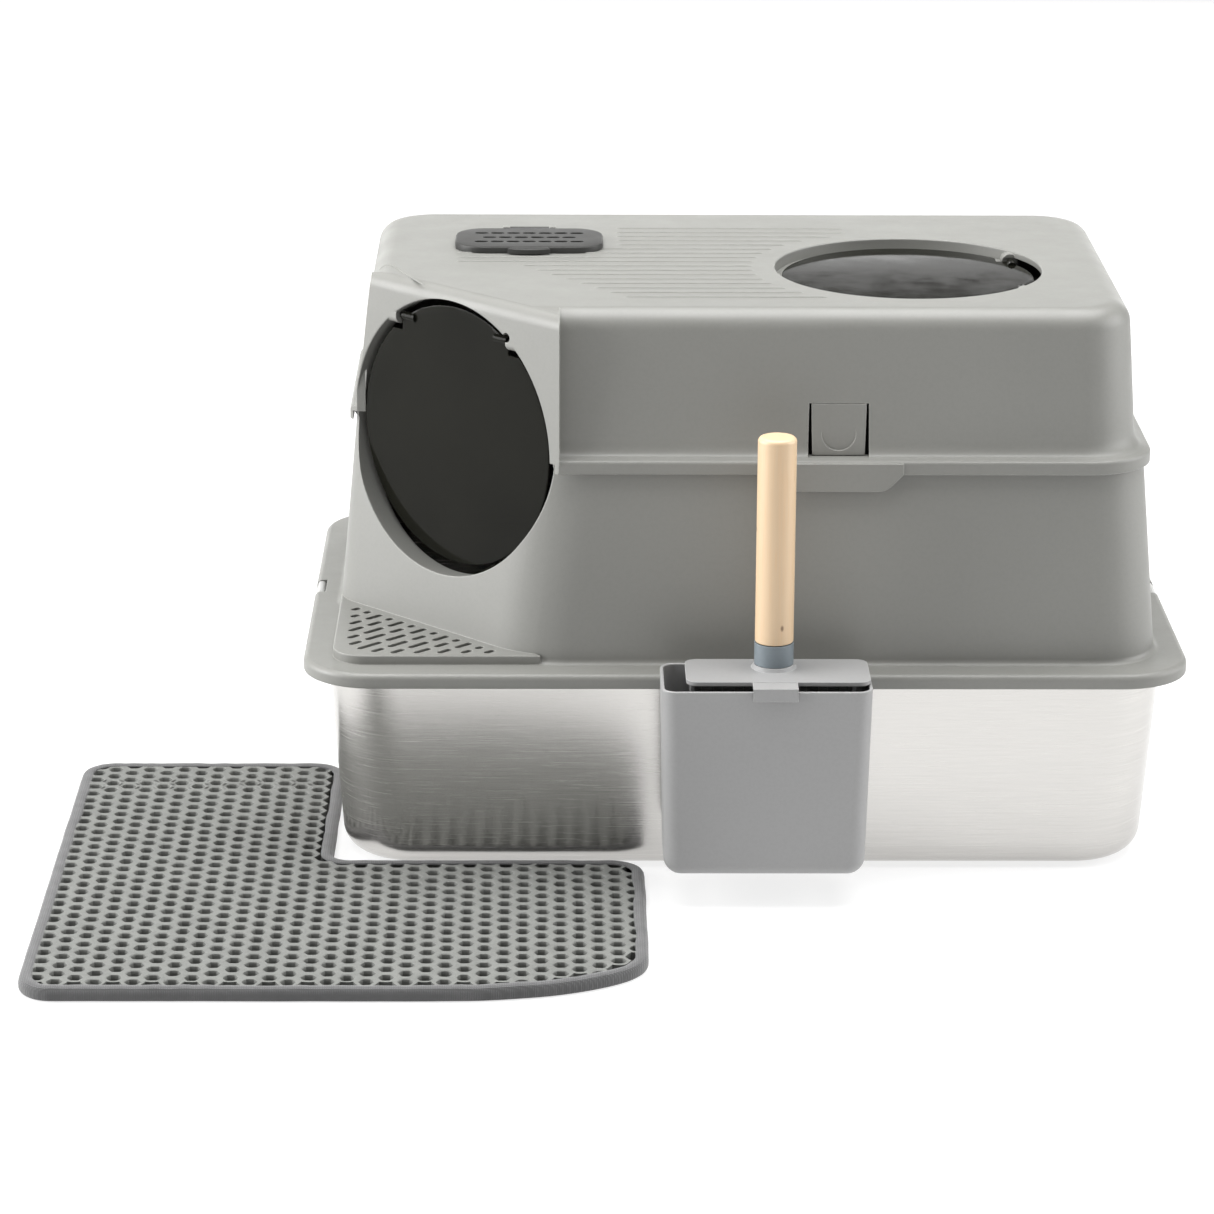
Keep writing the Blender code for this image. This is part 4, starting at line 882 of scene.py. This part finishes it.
def latch_slot(side):
    near, far = span(side, 0.1500, 0.1750)
    rings = []
    for z, half in ((LATCH_END - 0.0006, LATCH_HALF + 0.0005), (LATCH_ROOT, LATCH_HALF)):
        corners = ((-half, near), (half, near), (half, far), (-half, far))
        rings.append([Vector((LATCH_X + x, y, z)) for x, y in corners])
    return loft(rings)


def latch_apron(side):
    """Finger lip that drops below the hood's skirt at the latch, with sloping ends and round corners."""
    top = SEAM + 0.002
    low = HOOD_LIP_BOTTOM - APRON_DROP
    slope = APRON_CORNER * math.tan(math.pi / 8)
    shoulder = HOOD_LIP_BOTTOM + 0.0005
    foot = APRON_HALF - (shoulder - low) - slope
    outline = [(LATCH_X - APRON_HALF, top), (LATCH_X - APRON_HALF, shoulder)]
    for end, start in ((-1, 1.25), (1, 1.5)):
        corner = (LATCH_X + end * foot, low + APRON_CORNER)
        outline += arc(corner, APRON_CORNER, math.pi * start, math.pi * (start + 0.25), 8)
    outline += [(LATCH_X + APRON_HALF, shoulder), (LATCH_X + APRON_HALF, top)]
    inside = side * (WALL_SEAM[1] + 0.0043)
    outside = side * (HOOD_LIP[1] + 0.0012)
    return loft([[Vector((x, y, z)) for x, z in outline] for y in (inside, outside)])


def filter_frame():
    size = [s / 2 + 0.0030 for s in TRAY_SIZE]
    return prism(rounded_box(size, 0.014, 0, FILTER_CENTRE), HEIGHT - 0.0080, HEIGHT - 0.001)


def cover_lug(side):
    x = FILTER_CENTRE[0] + side * LUG_X
    y, z = COVER_AXIS
    return box((x - 0.0022, y - 0.0026, HEIGHT - 0.0010), (x + 0.0022, y + 0.0026, z + 0.0022))


def skirt_rings():
    """Skirt of the hood, from its lower edge up to the foot of its wall."""
    crown_in = 0.0024
    crown_start = SEAM + 0.0010
    crown_rise = 0.0026
    rows = [(0.0008, HOOD_LIP_BOTTOM), (0.0002, HOOD_LIP_BOTTOM + 0.0003), (0.0, HOOD_LIP_BOTTOM + 0.0010)]
    rows += [(crown_in * away, crown_start + crown_rise * rise) for away, rise in quarter(8)]
    rows.append((0.0040, SEAM + 0.0042))
    rings = [shrunk_box(HOOD_LIP, LIP_CORNER, inset, z) for inset, z in rows]
    foot_out = 0.0060
    foot_rise = 0.0120
    for away, rise in quarter(6):
        half = [h - (0.0050 + foot_out * rise) for h in HOOD_LIP]
        rings.append(rounded_box(half, LIP_CORNER - 0.0047, SEAM + 0.0046 + foot_rise * away))
    return rings


def hood_parts():
    """The hood's outer shape and the space inside it, both cut back to the entry panel."""
    shell = loft(skirt_rings() + hood_rings(0.0, WALL_LOW_Z), "hood_shell")
    join(shell, entry_boss(0.0, SEAM + GAP))
    combine(shell, behind_panel(0.0, PANEL_ROUND, HEIGHT + PANEL_CLEAR), "INTERSECT")
    skirt_half = [h - LIP_WALL for h in HOOD_LIP]
    skirt_ends = (HOOD_LIP_BOTTOM - 0.020, SEAM + GAP)
    subtract(shell, loft([rounded_box(skirt_half, LIP_CORNER - LIP_WALL, z) for z in skirt_ends]))
    hollow = loft(hood_rings(PLASTIC, SEAM - 0.010), "hollow")
    join(hollow, entry_boss(PLASTIC, SEAM - 0.012))
    block = behind_panel(PLASTIC, PANEL_ROUND - PLASTIC, HEIGHT - PLASTIC + PANEL_CLEAR)
    combine(hollow, block, "INTERSECT")
    return shell, hollow


def cut_openings(shell, hollow):
    """Take out the inside and the two round openings, leaving collars, bearings and pin holes."""
    pivots = (
        (entry_axis(), ACROSS, pivot_reach(ENTRY_RADIUS)),
        (exit_axis(), Vector((0, 1, 0)), pivot_reach(EXIT_RADIUS)),
    )

    def bearings(pivot):
        return bearing(pivot, -1), bearing(pivot, 1)

    x, y = EXIT_CENTRE
    collar = collar_bar(FACING, COLLAR_HIGH)
    cup = cylinder(EXIT_RADIUS + 0.0025, (x, y, HEIGHT - EXIT_DEPTH), (x, y, HEIGHT - 0.001), BORE_SIDES)
    join(collar, *bearings(pivots[0]))
    join(cup, *bearings(pivots[1]))
    subtract(collar, box((-0.5, -0.5, 0.1), (0.5, 0.5, SEAM + 0.0006)))
    subtract(hollow, collar, cup, filter_frame())
    subtract(shell, hollow)

    entry_bore = mouth_bore(ENTRY_RADIUS, ENTRY_CENTRE, FACING, BORE_REACH)
    back_wall = box((-0.400, BOSS_BACK - BOSS_BACK_WALL, SEAM + GAP), (-HOOD_WALL_LOW[0], 0.0, HEIGHT))
    subtract(entry_bore, *bearings(pivots[0]), back_wall)
    exit_bore = mouth_bore(EXIT_RADIUS, (x, y, HEIGHT), Z, HEIGHT - (pivots[1][0].z - 0.0013), 0.010)
    subtract(exit_bore, *bearings(pivots[1]))
    subtract(shell, entry_bore, exit_bore)

    gap_low = Vector((x + PIVOT_HEIGHT - 0.010, y - 0.049, HEIGHT - EXIT_DEPTH - 0.010))
    gap_high = Vector((gap_low.x + 0.030, y + 0.049, HEIGHT - 0.004))
    ledge_bore = cylinder(LEDGE_RADIUS, (x, y, HEIGHT - 0.03), (x, y, HEIGHT), BORE_SIDES)
    subtract(shell, ledge_bore, box(gap_low, gap_high))
    for centre, line, reach in pivots:
        for side in (-1, 1):
            start = centre + line * side * (reach - 0.002)
            subtract(shell, cylinder(0.0021, start, centre + line * side * (reach + 0.0125), 16))
    mouth = ENTRY_CENTRE + ACROSS * PIN_HOLE[0] + Z * PIN_HOLE[1]
    subtract(shell, cylinder(PIN_HOLE_RADIUS, mouth - FACING * 0.0100, mouth + FACING * 0.0100, 24))


def make_hood():
    shell, hollow = hood_parts()
    cut_openings(shell, hollow)
    tray = rounded_box([s / 2 + 0.0006 for s in TRAY_SIZE], 0.012, 0, FILTER_CENTRE)
    subtract(shell, prism(tray, HEIGHT - 0.03, HEIGHT + 0.01))
    for side in (-1, 1):
        join(shell, cover_lug(side), latch_apron(side))
        subtract(shell, latch_slot(side))
    pin = Vector((FILTER_CENTRE[0], *COVER_AXIS))
    reach = Vector((0.03, 0.0, 0.0))
    subtract(shell, cylinder(0.0011, pin - reach, pin + reach, 16))
    finish(shell, "enclosure_plastic", "hood_body", "hood")


def rib_ends(index, y):
    """Where a rib of the hood's top starts and stops."""
    if index < 5:
        start = -0.086
    elif index < 9:
        start = -0.198
    else:
        start = -0.185 + (0.020 - y) * (0.0864 / 0.115)
    away = y - EXIT_CENTRE[1]
    bow = math.sqrt(max(RIB_END_RADIUS ** 2 - away ** 2, 0.037 ** 2))
    return start, EXIT_CENTRE[0] - bow


def make_ribs():
    """Fine raised lines along the hood's top, each a low bar with tapered ends."""
    bars = []
    for index in range(RIB_COUNT):
        y = RIB_BACK - index * RIB_PITCH
        start, end = rib_ends(index, y)
        rings = []
        for x, size in ((start, 0.15), (start + 0.003, 1.0), (end - 0.003, 1.0), (end, 0.15)):
            turn = arc((0.0, 0.0), 1.0, 0.0, math.pi, 6)
            rings.append([(x, y + RIB_HALF * c, HEIGHT - 0.0001 + RIB_RISE * size * s) for c, s in turn])
        bars.append(loft(rings))
    dress(gather(bars, "hood_top_ribs"), "enclosure_plastic", "hood_body")


def make_bead():
    """Low crease along the boss's top."""
    steps = 6
    rings = []
    points = [Vector(point) for point in BEAD_LINE]
    for index, point in enumerate(points):
        run = points[min(index + 1, len(points) - 1)] - points[max(index - 1, 0)]
        aside = run.cross(Z).normalized()
        size = 1.0 if 0 < index < len(points) - 1 else 0.3
        ring = []
        for step in range(2 * steps):
            angle = math.pi * step / steps
            out = aside * BEAD_HALF * size * math.cos(angle)
            ring.append(point + out + Z * BEAD_RISE * size * math.sin(angle))
        rings.append(ring)
    dress(loft(rings, "boss_crease"), "enclosure_plastic", "hood_body")


# ---- flaps ----------------------------------------------------------------------------------
def make_flap(name, node, body, axis, across, up, radius):
    """Smoked disc with a rounded edge, hinged on a chord, with a barrel at each end of it."""
    across, up = Vector(across), Vector(up)
    out = across.cross(up)
    edge = radius - FLAP_CLEAR
    half = pivot_reach(radius)
    centre = axis - up * PIVOT_HEIGHT
    thick = FLAP_THICK / 2
    profile = [(edge - 0.0008, -thick), (edge - 0.0002, -thick + 0.0003), (edge, -thick + 0.0008),
               (edge, thick - 0.0008), (edge - 0.0002, thick - 0.0003), (edge - 0.0008, thick)]
    disc = turned(profile, centre, out, BORE_SIDES, name)
    turn = Matrix((across, up, out)).transposed().to_4x4()
    reach = 0.030
    for side in (-1, 1):
        near = axis + across * side * (half + BARREL_OUTER)
        notch = box((-reach, FLAP_NOTCH[0], -reach), (reach, FLAP_NOTCH[1], reach))
        notch.data.transform(Matrix.Translation(near + across * side * (reach + 0.0004)) @ turn)
        subtract(disc, notch)
        join(disc, cylinder(FLAP_BARREL, axis + across * side * (half - BARREL_INNER), near, 24))
        subtract(disc, cylinder(PIN_BORE, axis + across * side * (half - 0.0075),
                                axis + across * side * (half + BARREL_INNER), 16))
    finish(disc, "tinted_plastic", body, node)


# ---- holder and handle ----------------------------------------------------------------------
def make_holder():
    def ring(half_x, front, inset, corner, z):
        low = front + inset
        high = HOLDER_BACK - inset
        half = (half_x - inset, (high - low) / 2)
        return rounded_box(half, corner, z, (HOLDER_X, (low + high) / 2), steps=10)

    wall = HOLDER_WALL
    front_top = HOLDER_BACK - HOLDER_DEPTH
    front_low = front_top + 0.0045
    rings = []
    for away, rise in quarter(FILLET_STEPS):
        inset = HOLDER_FOOT * (1 - rise)
        z = HOLDER_LOW + HOLDER_FOOT * away
        rings.append(ring(HOLDER_HALF_LOW, front_low, inset, max(0.012 - inset, 0.004), z))
    for away, rise in quarter(4):
        inset = HOLDER_RIM * away
        z = HOLDER_TOP - HOLDER_RIM + HOLDER_RIM * rise
        rings.append(ring(HOLDER_HALF_TOP, front_top, inset, 0.010 - inset, z))
    rings.append(ring(HOLDER_HALF_TOP, front_top, wall - 0.0004, 0.0082, HOLDER_TOP))
    rings.append(ring(HOLDER_HALF_TOP, front_top, wall, 0.0080, HOLDER_TOP - 0.0005))
    rings.append(ring(HOLDER_HALF_LOW, front_low, wall, 0.0080, HOLDER_LOW + HOLDER_FOOT))
    rings.append(ring(HOLDER_HALF_LOW, front_low, 0.010, 0.0040, HOLDER_LOW + wall))
    holder = loft(rings, "holder_shell")
    hooks = (
        (-0.1890, FLANGE_TOP + GAP, FLANGE_TOP + 0.0030),
        (-0.1950, FLANGE_LIP - 0.0035, FLANGE_LIP - GAP),
    )
    for x in (HOLDER_X - HOOK_OFFSET, HOLDER_X + HOOK_OFFSET):
        for end, low, high in hooks:
            join(holder, box((x - HOOK_HALF, HOLDER_BACK - 0.0010, low), (x + HOOK_HALF, end, high)))
    finish(holder, "holder_plastic", "holder", "scoop_holder")


def make_handle():
    """Turned handle with a soft shoulder at each end."""
    low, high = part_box("scoop_handle")
    radius = (high.x - low.x) / 2
    length = high.z - low.z
    shoulder = 0.0032
    profile = [(radius - 0.0010, 0.0), (radius - 0.0003, 0.0004), (radius, 0.0012)]
    profile += [(radius - shoulder * away, length - shoulder + shoulder * rise) for away, rise in quarter(8)]
    profile.append((radius * 0.45, length))
    centre = Vector(((low.x + high.x) / 2, (low.y + high.y) / 2, low.z))
    handle = turned(profile, centre, Z, 72, "turned_handle")
    subtract(handle, cylinder(0.0031, centre - Z * 0.01, centre + Z * 0.030, 24))
    finish(handle, "beech_wood", "scoop", "scoop_handle")


# ---- mat ------------------------------------------------------------------------------------
def mat_outline(inset, fine=1):
    """L-shaped outline with round outer corners, moved inward by inset."""
    left, front, right, back = MAT_OUTER
    arm_x, arm_y = MAT_INNER
    left, front, right, back = left + inset, front + inset, right - inset, back - inset
    arm_x, arm_y = arm_x - inset, arm_y - inset
    outer = MAT_CORNER - inset
    inner = 0.010 + inset
    right_angle = math.pi / 2
    points = arc((left + outer, front + outer), outer, math.pi, math.pi + right_angle, 5 * fine)
    along, deep = (reach - inset for reach in MAT_WORN)
    worn = arc((0, 0), 1.0, -right_angle, 0.0, 10 * fine)
    points += [(right - along + along * x, front + deep + deep * y) for x, y in worn]
    points += arc((right - outer, arm_y - outer), outer, 0.0, right_angle, 5 * fine)
    points += arc((arm_x + inner, arm_y + inner), inner, -right_angle, -math.pi, 4 * fine)
    points += arc((arm_x - outer, back - outer), outer, 0.0, right_angle, 5 * fine)
    points += arc((left + outer, back - outer), outer, right_angle, math.pi, 5 * fine)
    return [Vector(point) for point in points]


def spaced(outline, step):
    """Points at an even spacing round a closed outline, with the outward direction at each."""
    loop = outline + [outline[0]]
    lengths = [(b - a).length for a, b in zip(loop, loop[1:])]
    total = sum(lengths)
    count = int(total / step)
    made = []
    index = 0
    passed = 0.0
    for number in range(count):
        target = total * number / count
        while passed + lengths[index] < target:
            passed += lengths[index]
            index += 1
        a, b = loop[index], loop[index + 1]
        share = (target - passed) / max(lengths[index], 1e-9)
        made.append(a.lerp(b, share))
    result = []
    for number, point in enumerate(made):
        before = made[number - 2]
        after = made[(number + 2) % count]
        run = (after - before).normalized()
        result.append((point, Vector((run.y, -run.x))))
    return result


def signed_distance(point, outline):
    """Distance to a closed outline, negative inside it, and the nearest point on it."""
    best = 1e9
    nearest = outline[0]
    inside = False
    for a, b in zip(outline, outline[1:] + outline[:1]):
        run = b - a
        share = min(max((point - a).dot(run) / max(run.length_squared, 1e-12), 0.0), 1.0)
        foot = a + run * share
        away = (point - foot).length
        if away < best:
            best = away
            nearest = foot
        if (a.y > point.y) != (b.y > point.y):
            if point.x < a.x + (point.y - a.y) / (b.y - a.y) * (b.x - a.x):
                inside = not inside
    return (-best if inside else best), nearest


def cell_centres(limit):
    """Middles of the honeycomb's holes that lie inside the limit."""
    left, front, right, back = MAT_OUTER
    column_pitch = CELL_PITCH * math.sqrt(3) / 2
    made = []
    for column in range(int((right - left) / column_pitch) + 2):
        for row in range(int((back - front) / CELL_PITCH) + 2):
            centre = Vector((left + column * column_pitch, front + (row + (column % 2) / 2) * CELL_PITCH))
            if signed_distance(centre, limit)[0] < -0.0016:
                made.append(centre)
    return made


def from_corner(angle):
    """Angle past the nearest corner of a hexagon."""
    return (angle + math.pi / 6) % (math.pi / 3) - math.pi / 6


def cell_rim(centre, limit):
    """Hexagon round a cell, held inside the limit: points, and whether each is a corner."""
    rim = []
    for angle in CELL_TURNS:
        within = from_corner(angle)
        distance = CELL_PITCH / math.sqrt(3) * math.cos(math.pi / 6) / math.cos(math.pi / 6 - abs(within))
        point = centre + Vector((math.cos(angle), math.sin(angle))) * distance
        away, nearest = signed_distance(point, limit)
        rim.append((nearest if away > 0 else point, abs(within) < 0.02))
    return rim


def hole_ring(centre, shift, share, squash, limit):
    """One ring of a cell's hole, six-lobed, a little out of round and held inside the limit."""
    ring = []
    for angle in CELL_TURNS:
        lobe = 1.0 + 0.05 * math.cos(6 * from_corner(angle))
        radius = CELL_HOLE * share * lobe
        x = centre.x + shift.x + math.cos(angle) * radius * squash
        y = centre.y + shift.y + math.sin(angle) * radius / squash
        away, nearest = signed_distance(Vector((x, y)), limit)
        ring.append(nearest.lerp(centre, 0.08) if away > -0.0006 else Vector((x, y)))
    return ring


def make_honeycomb():
    """Upper sheet of the mat: crowned hexagons, each with a soft-edged hole down to the lower sheet."""
    shaker = random.Random(5)
    limit = mat_outline(MAT_BINDING - 0.0022)
    bm = bmesh.new()
    top = MAT_THICK - 0.0008
    bottom = MAT_LOWER + 0.0002
    segments = {}
    for centre in cell_centres(limit):
        squash = 1.0 + shaker.uniform(-0.07, 0.07)
        shift = Vector((shaker.uniform(-0.0003, 0.0003), shaker.uniform(-0.0003, 0.0003)))
        lift = shaker.uniform(-0.0003, 0.0003)
        rim = cell_rim(centre, limit)
        outer = [bm.verts.new((p.x, p.y, top - (0.0 if corner else 0.0003))) for p, corner in rim]
        under = [bm.verts.new((p.x, p.y, bottom)) for p, corner in rim]
        rows = [outer]
        for share, depth in CELL_PROFILE:
            z = bottom if depth is None else top - depth + lift * (1.3 - share) * 3
            ring = hole_ring(centre, shift, share, squash, limit)
            rows.append([bm.verts.new((p.x, p.y, z)) for p in ring])
        rows.append(under)
        for number in range(CELL_SIDES):
            after = (number + 1) % CELL_SIDES
            for high, low in zip(rows, rows[1:]):
                bm.faces.new((high[number], high[after], low[after], low[number]))
            middle = (outer[number].co + outer[after].co) / 2
            key = (round(middle.x, 5), round(middle.y, 5))
            segments.setdefault(key, []).append((outer[number], outer[after], under[after], under[number]))
    for quads in segments.values():
        if len(quads) == 1:
            bm.faces.new(quads[0])
    bmesh.ops.remove_doubles(bm, verts=bm.verts, dist=0.00004)
    bmesh.ops.dissolve_degenerate(bm, dist=0.00002, edges=bm.edges)
    comb = add_object("honeycomb_sheet", bm)
    dress(comb, "mat_foam", "floor_mat", "mat_top")


def make_mat_base():
    """Closed lower sheet with a soft edge."""
    rings = []
    for inset, z in ((0.0022, 0.0002), (0.0014, 0.0008), (0.0014, MAT_LOWER - 0.0008), (0.0022, MAT_LOWER)):
        rings.append([Vector((p.x, p.y, z)) for p in mat_outline(inset, 3)])
    base = loft(rings, "backing_sheet")
    dress(base, "mat_foam_dark", "floor_mat", "mat_base")


def make_binding():
    """Woven tape folded over the mat's edge and sewn down, a little wavy."""
    profile = ((0.0084, 0.0002), (0.0030, 0.0000), (0.0008, 0.0002), (0.0001, 0.0016), (0.0000, 0.0042),
               (0.0004, 0.0066), (0.0016, 0.0083), (0.0035, 0.0090), (0.0060, 0.0090), (0.0078, 0.0084),
               (0.0082, 0.0076), (0.0060, 0.0070), (0.0030, 0.0060), (0.0020, 0.0040), (0.0030, 0.0014))
    rings = []
    for point, outward in spaced(mat_outline(0.0004, 4), 0.0035):
        ripple = noise.noise(Vector((point.x * 38, point.y * 38, 1.7)))
        pucker = noise.noise(Vector((point.x * 110, point.y * 110, 8.3)))
        ring = []
        for inward, z in profile:
            inner = inward / 0.0084
            move = inner * (0.0012 * ripple + 0.0006 * pucker) + (1 - inner) * 0.0004 * (ripple - 0.4)
            swell = 1.0 + (0.045 * pucker + 0.03 * ripple) * min(z / 0.004, 1.0)
            place = point - outward * (inward + move + 0.0002)
            ring.append(Vector((place.x, place.y, min(z * swell, MAT_THICK + 0.0006))))
        rings.append(ring)
    dress(loft(rings, "edge_binding", closed=True), "mat_fabric", "floor_mat", "mat_binding")


# ---- filter pad -----------------------------------------------------------------------------
def make_carbon_pad():
    """Felt pad with a crowned top and pulled-in sides."""
    low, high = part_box("carbon_filter")
    centre = ((low.x + high.x) / 2, (low.y + high.y) / 2)
    half = ((high.x - low.x) / 2, (high.y - low.y) / 2)
    height = high.z - low.z
    rows = (
        (0.0020, 0.0), (0.0006, 0.12), (0.0002, 0.5), (0.0008, 0.80),
        (0.0030, 0.93), (0.0090, 0.985), (0.0180, 1.0),
    )
    rings = []
    for inset, share in rows:
        size = [h - inset for h in half]
        corner = max(0.0090 - inset, 0.003)
        rings.append(rounded_box(size, corner, low.z + height * share, centre, steps=5))
    pad = loft(rings, "carbon_pad")
    dress(pad, "carbon_felt", "hood_body", "carbon_filter")


# ---- floor, light and camera ----------------------------------------------------------------
def make_floor():
    bm = bmesh.new()
    bmesh.ops.create_grid(bm, x_segments=2, y_segments=2, size=9.0)
    floor = add_object("studio_floor", bm)
    floor.location.z = -0.0006
    made, _, shader = new_material("studio_white", (0.32, 0.32, 0.32), 0.85)
    shader.inputs["Emission Color"].default_value = (1.0, 1.0, 1.0, 1.0)
    shader.inputs["Emission Strength"].default_value = 0.72
    floor.data.materials.append(made)


def area_light(name, place, target, size, power):
    data = bpy.data.lights.new(name, "AREA")
    data.shape = "RECTANGLE"
    data.size, data.size_y = size
    data.energy = power
    lamp = bpy.data.objects.new(name, data)
    lamp.location = place
    lamp.rotation_euler = (Vector(target) - Vector(place)).to_track_quat("-Z", "Y").to_euler()
    bpy.context.scene.collection.objects.link(lamp)


def make_light():
    world = bpy.data.worlds.new("studio")
    world.use_nodes = True
    world.node_tree.nodes["Background"].inputs["Color"].default_value = (1.0, 1.0, 1.0, 1.0)
    world.node_tree.nodes["Background"].inputs["Strength"].default_value = 0.12
    bpy.context.scene.world = world
    for lamp in LIGHTS:
        area_light(*lamp)


def make_camera():
    data = bpy.data.cameras.new("camera")
    data.sensor_width = 36.0
    data.lens = CAMERA_LENS
    data.clip_end = 50.0
    camera = bpy.data.objects.new("camera", data)
    turn = Matrix.Rotation(-CAMERA_YAW, 4, "Z")
    turn @= Matrix.Rotation(math.pi / 2 - CAMERA_PITCH, 4, "X")
    turn @= Matrix.Rotation(CAMERA_ROLL, 4, "Z")
    camera.matrix_world = Matrix.Translation(CAMERA_PLACE) @ turn
    bpy.context.scene.collection.objects.link(camera)
    bpy.context.scene.camera = camera


# ---- assembly -------------------------------------------------------------------------------
def dress_cad_nodes():
    for name, node in nodes.items():
        node.data.materials.clear()
        node.data.materials.append(SKINS[NODE_SLOTS[name]])
        smooth_facets(node)


dress_cad_nodes()
make_camera()
make_floor()
make_light()
make_pan()
make_enclosure()
make_hood()
make_ribs()
make_bead()
make_flap("entry_flap_disc", "entry_flap", "entry_door", entry_axis(), ACROSS, (0, 0, 1), ENTRY_RADIUS)
make_flap("exit_flap_disc", "exit_flap", "exit_door", exit_axis(), (0, -1, 0), (1, 0, 0), EXIT_RADIUS)
make_carbon_pad()
make_holder()
make_handle()
make_mat_base()
make_honeycomb()
make_binding()

scene = bpy.context.scene
scene.view_settings.view_transform = "Standard"
scene.view_settings.look = "None"
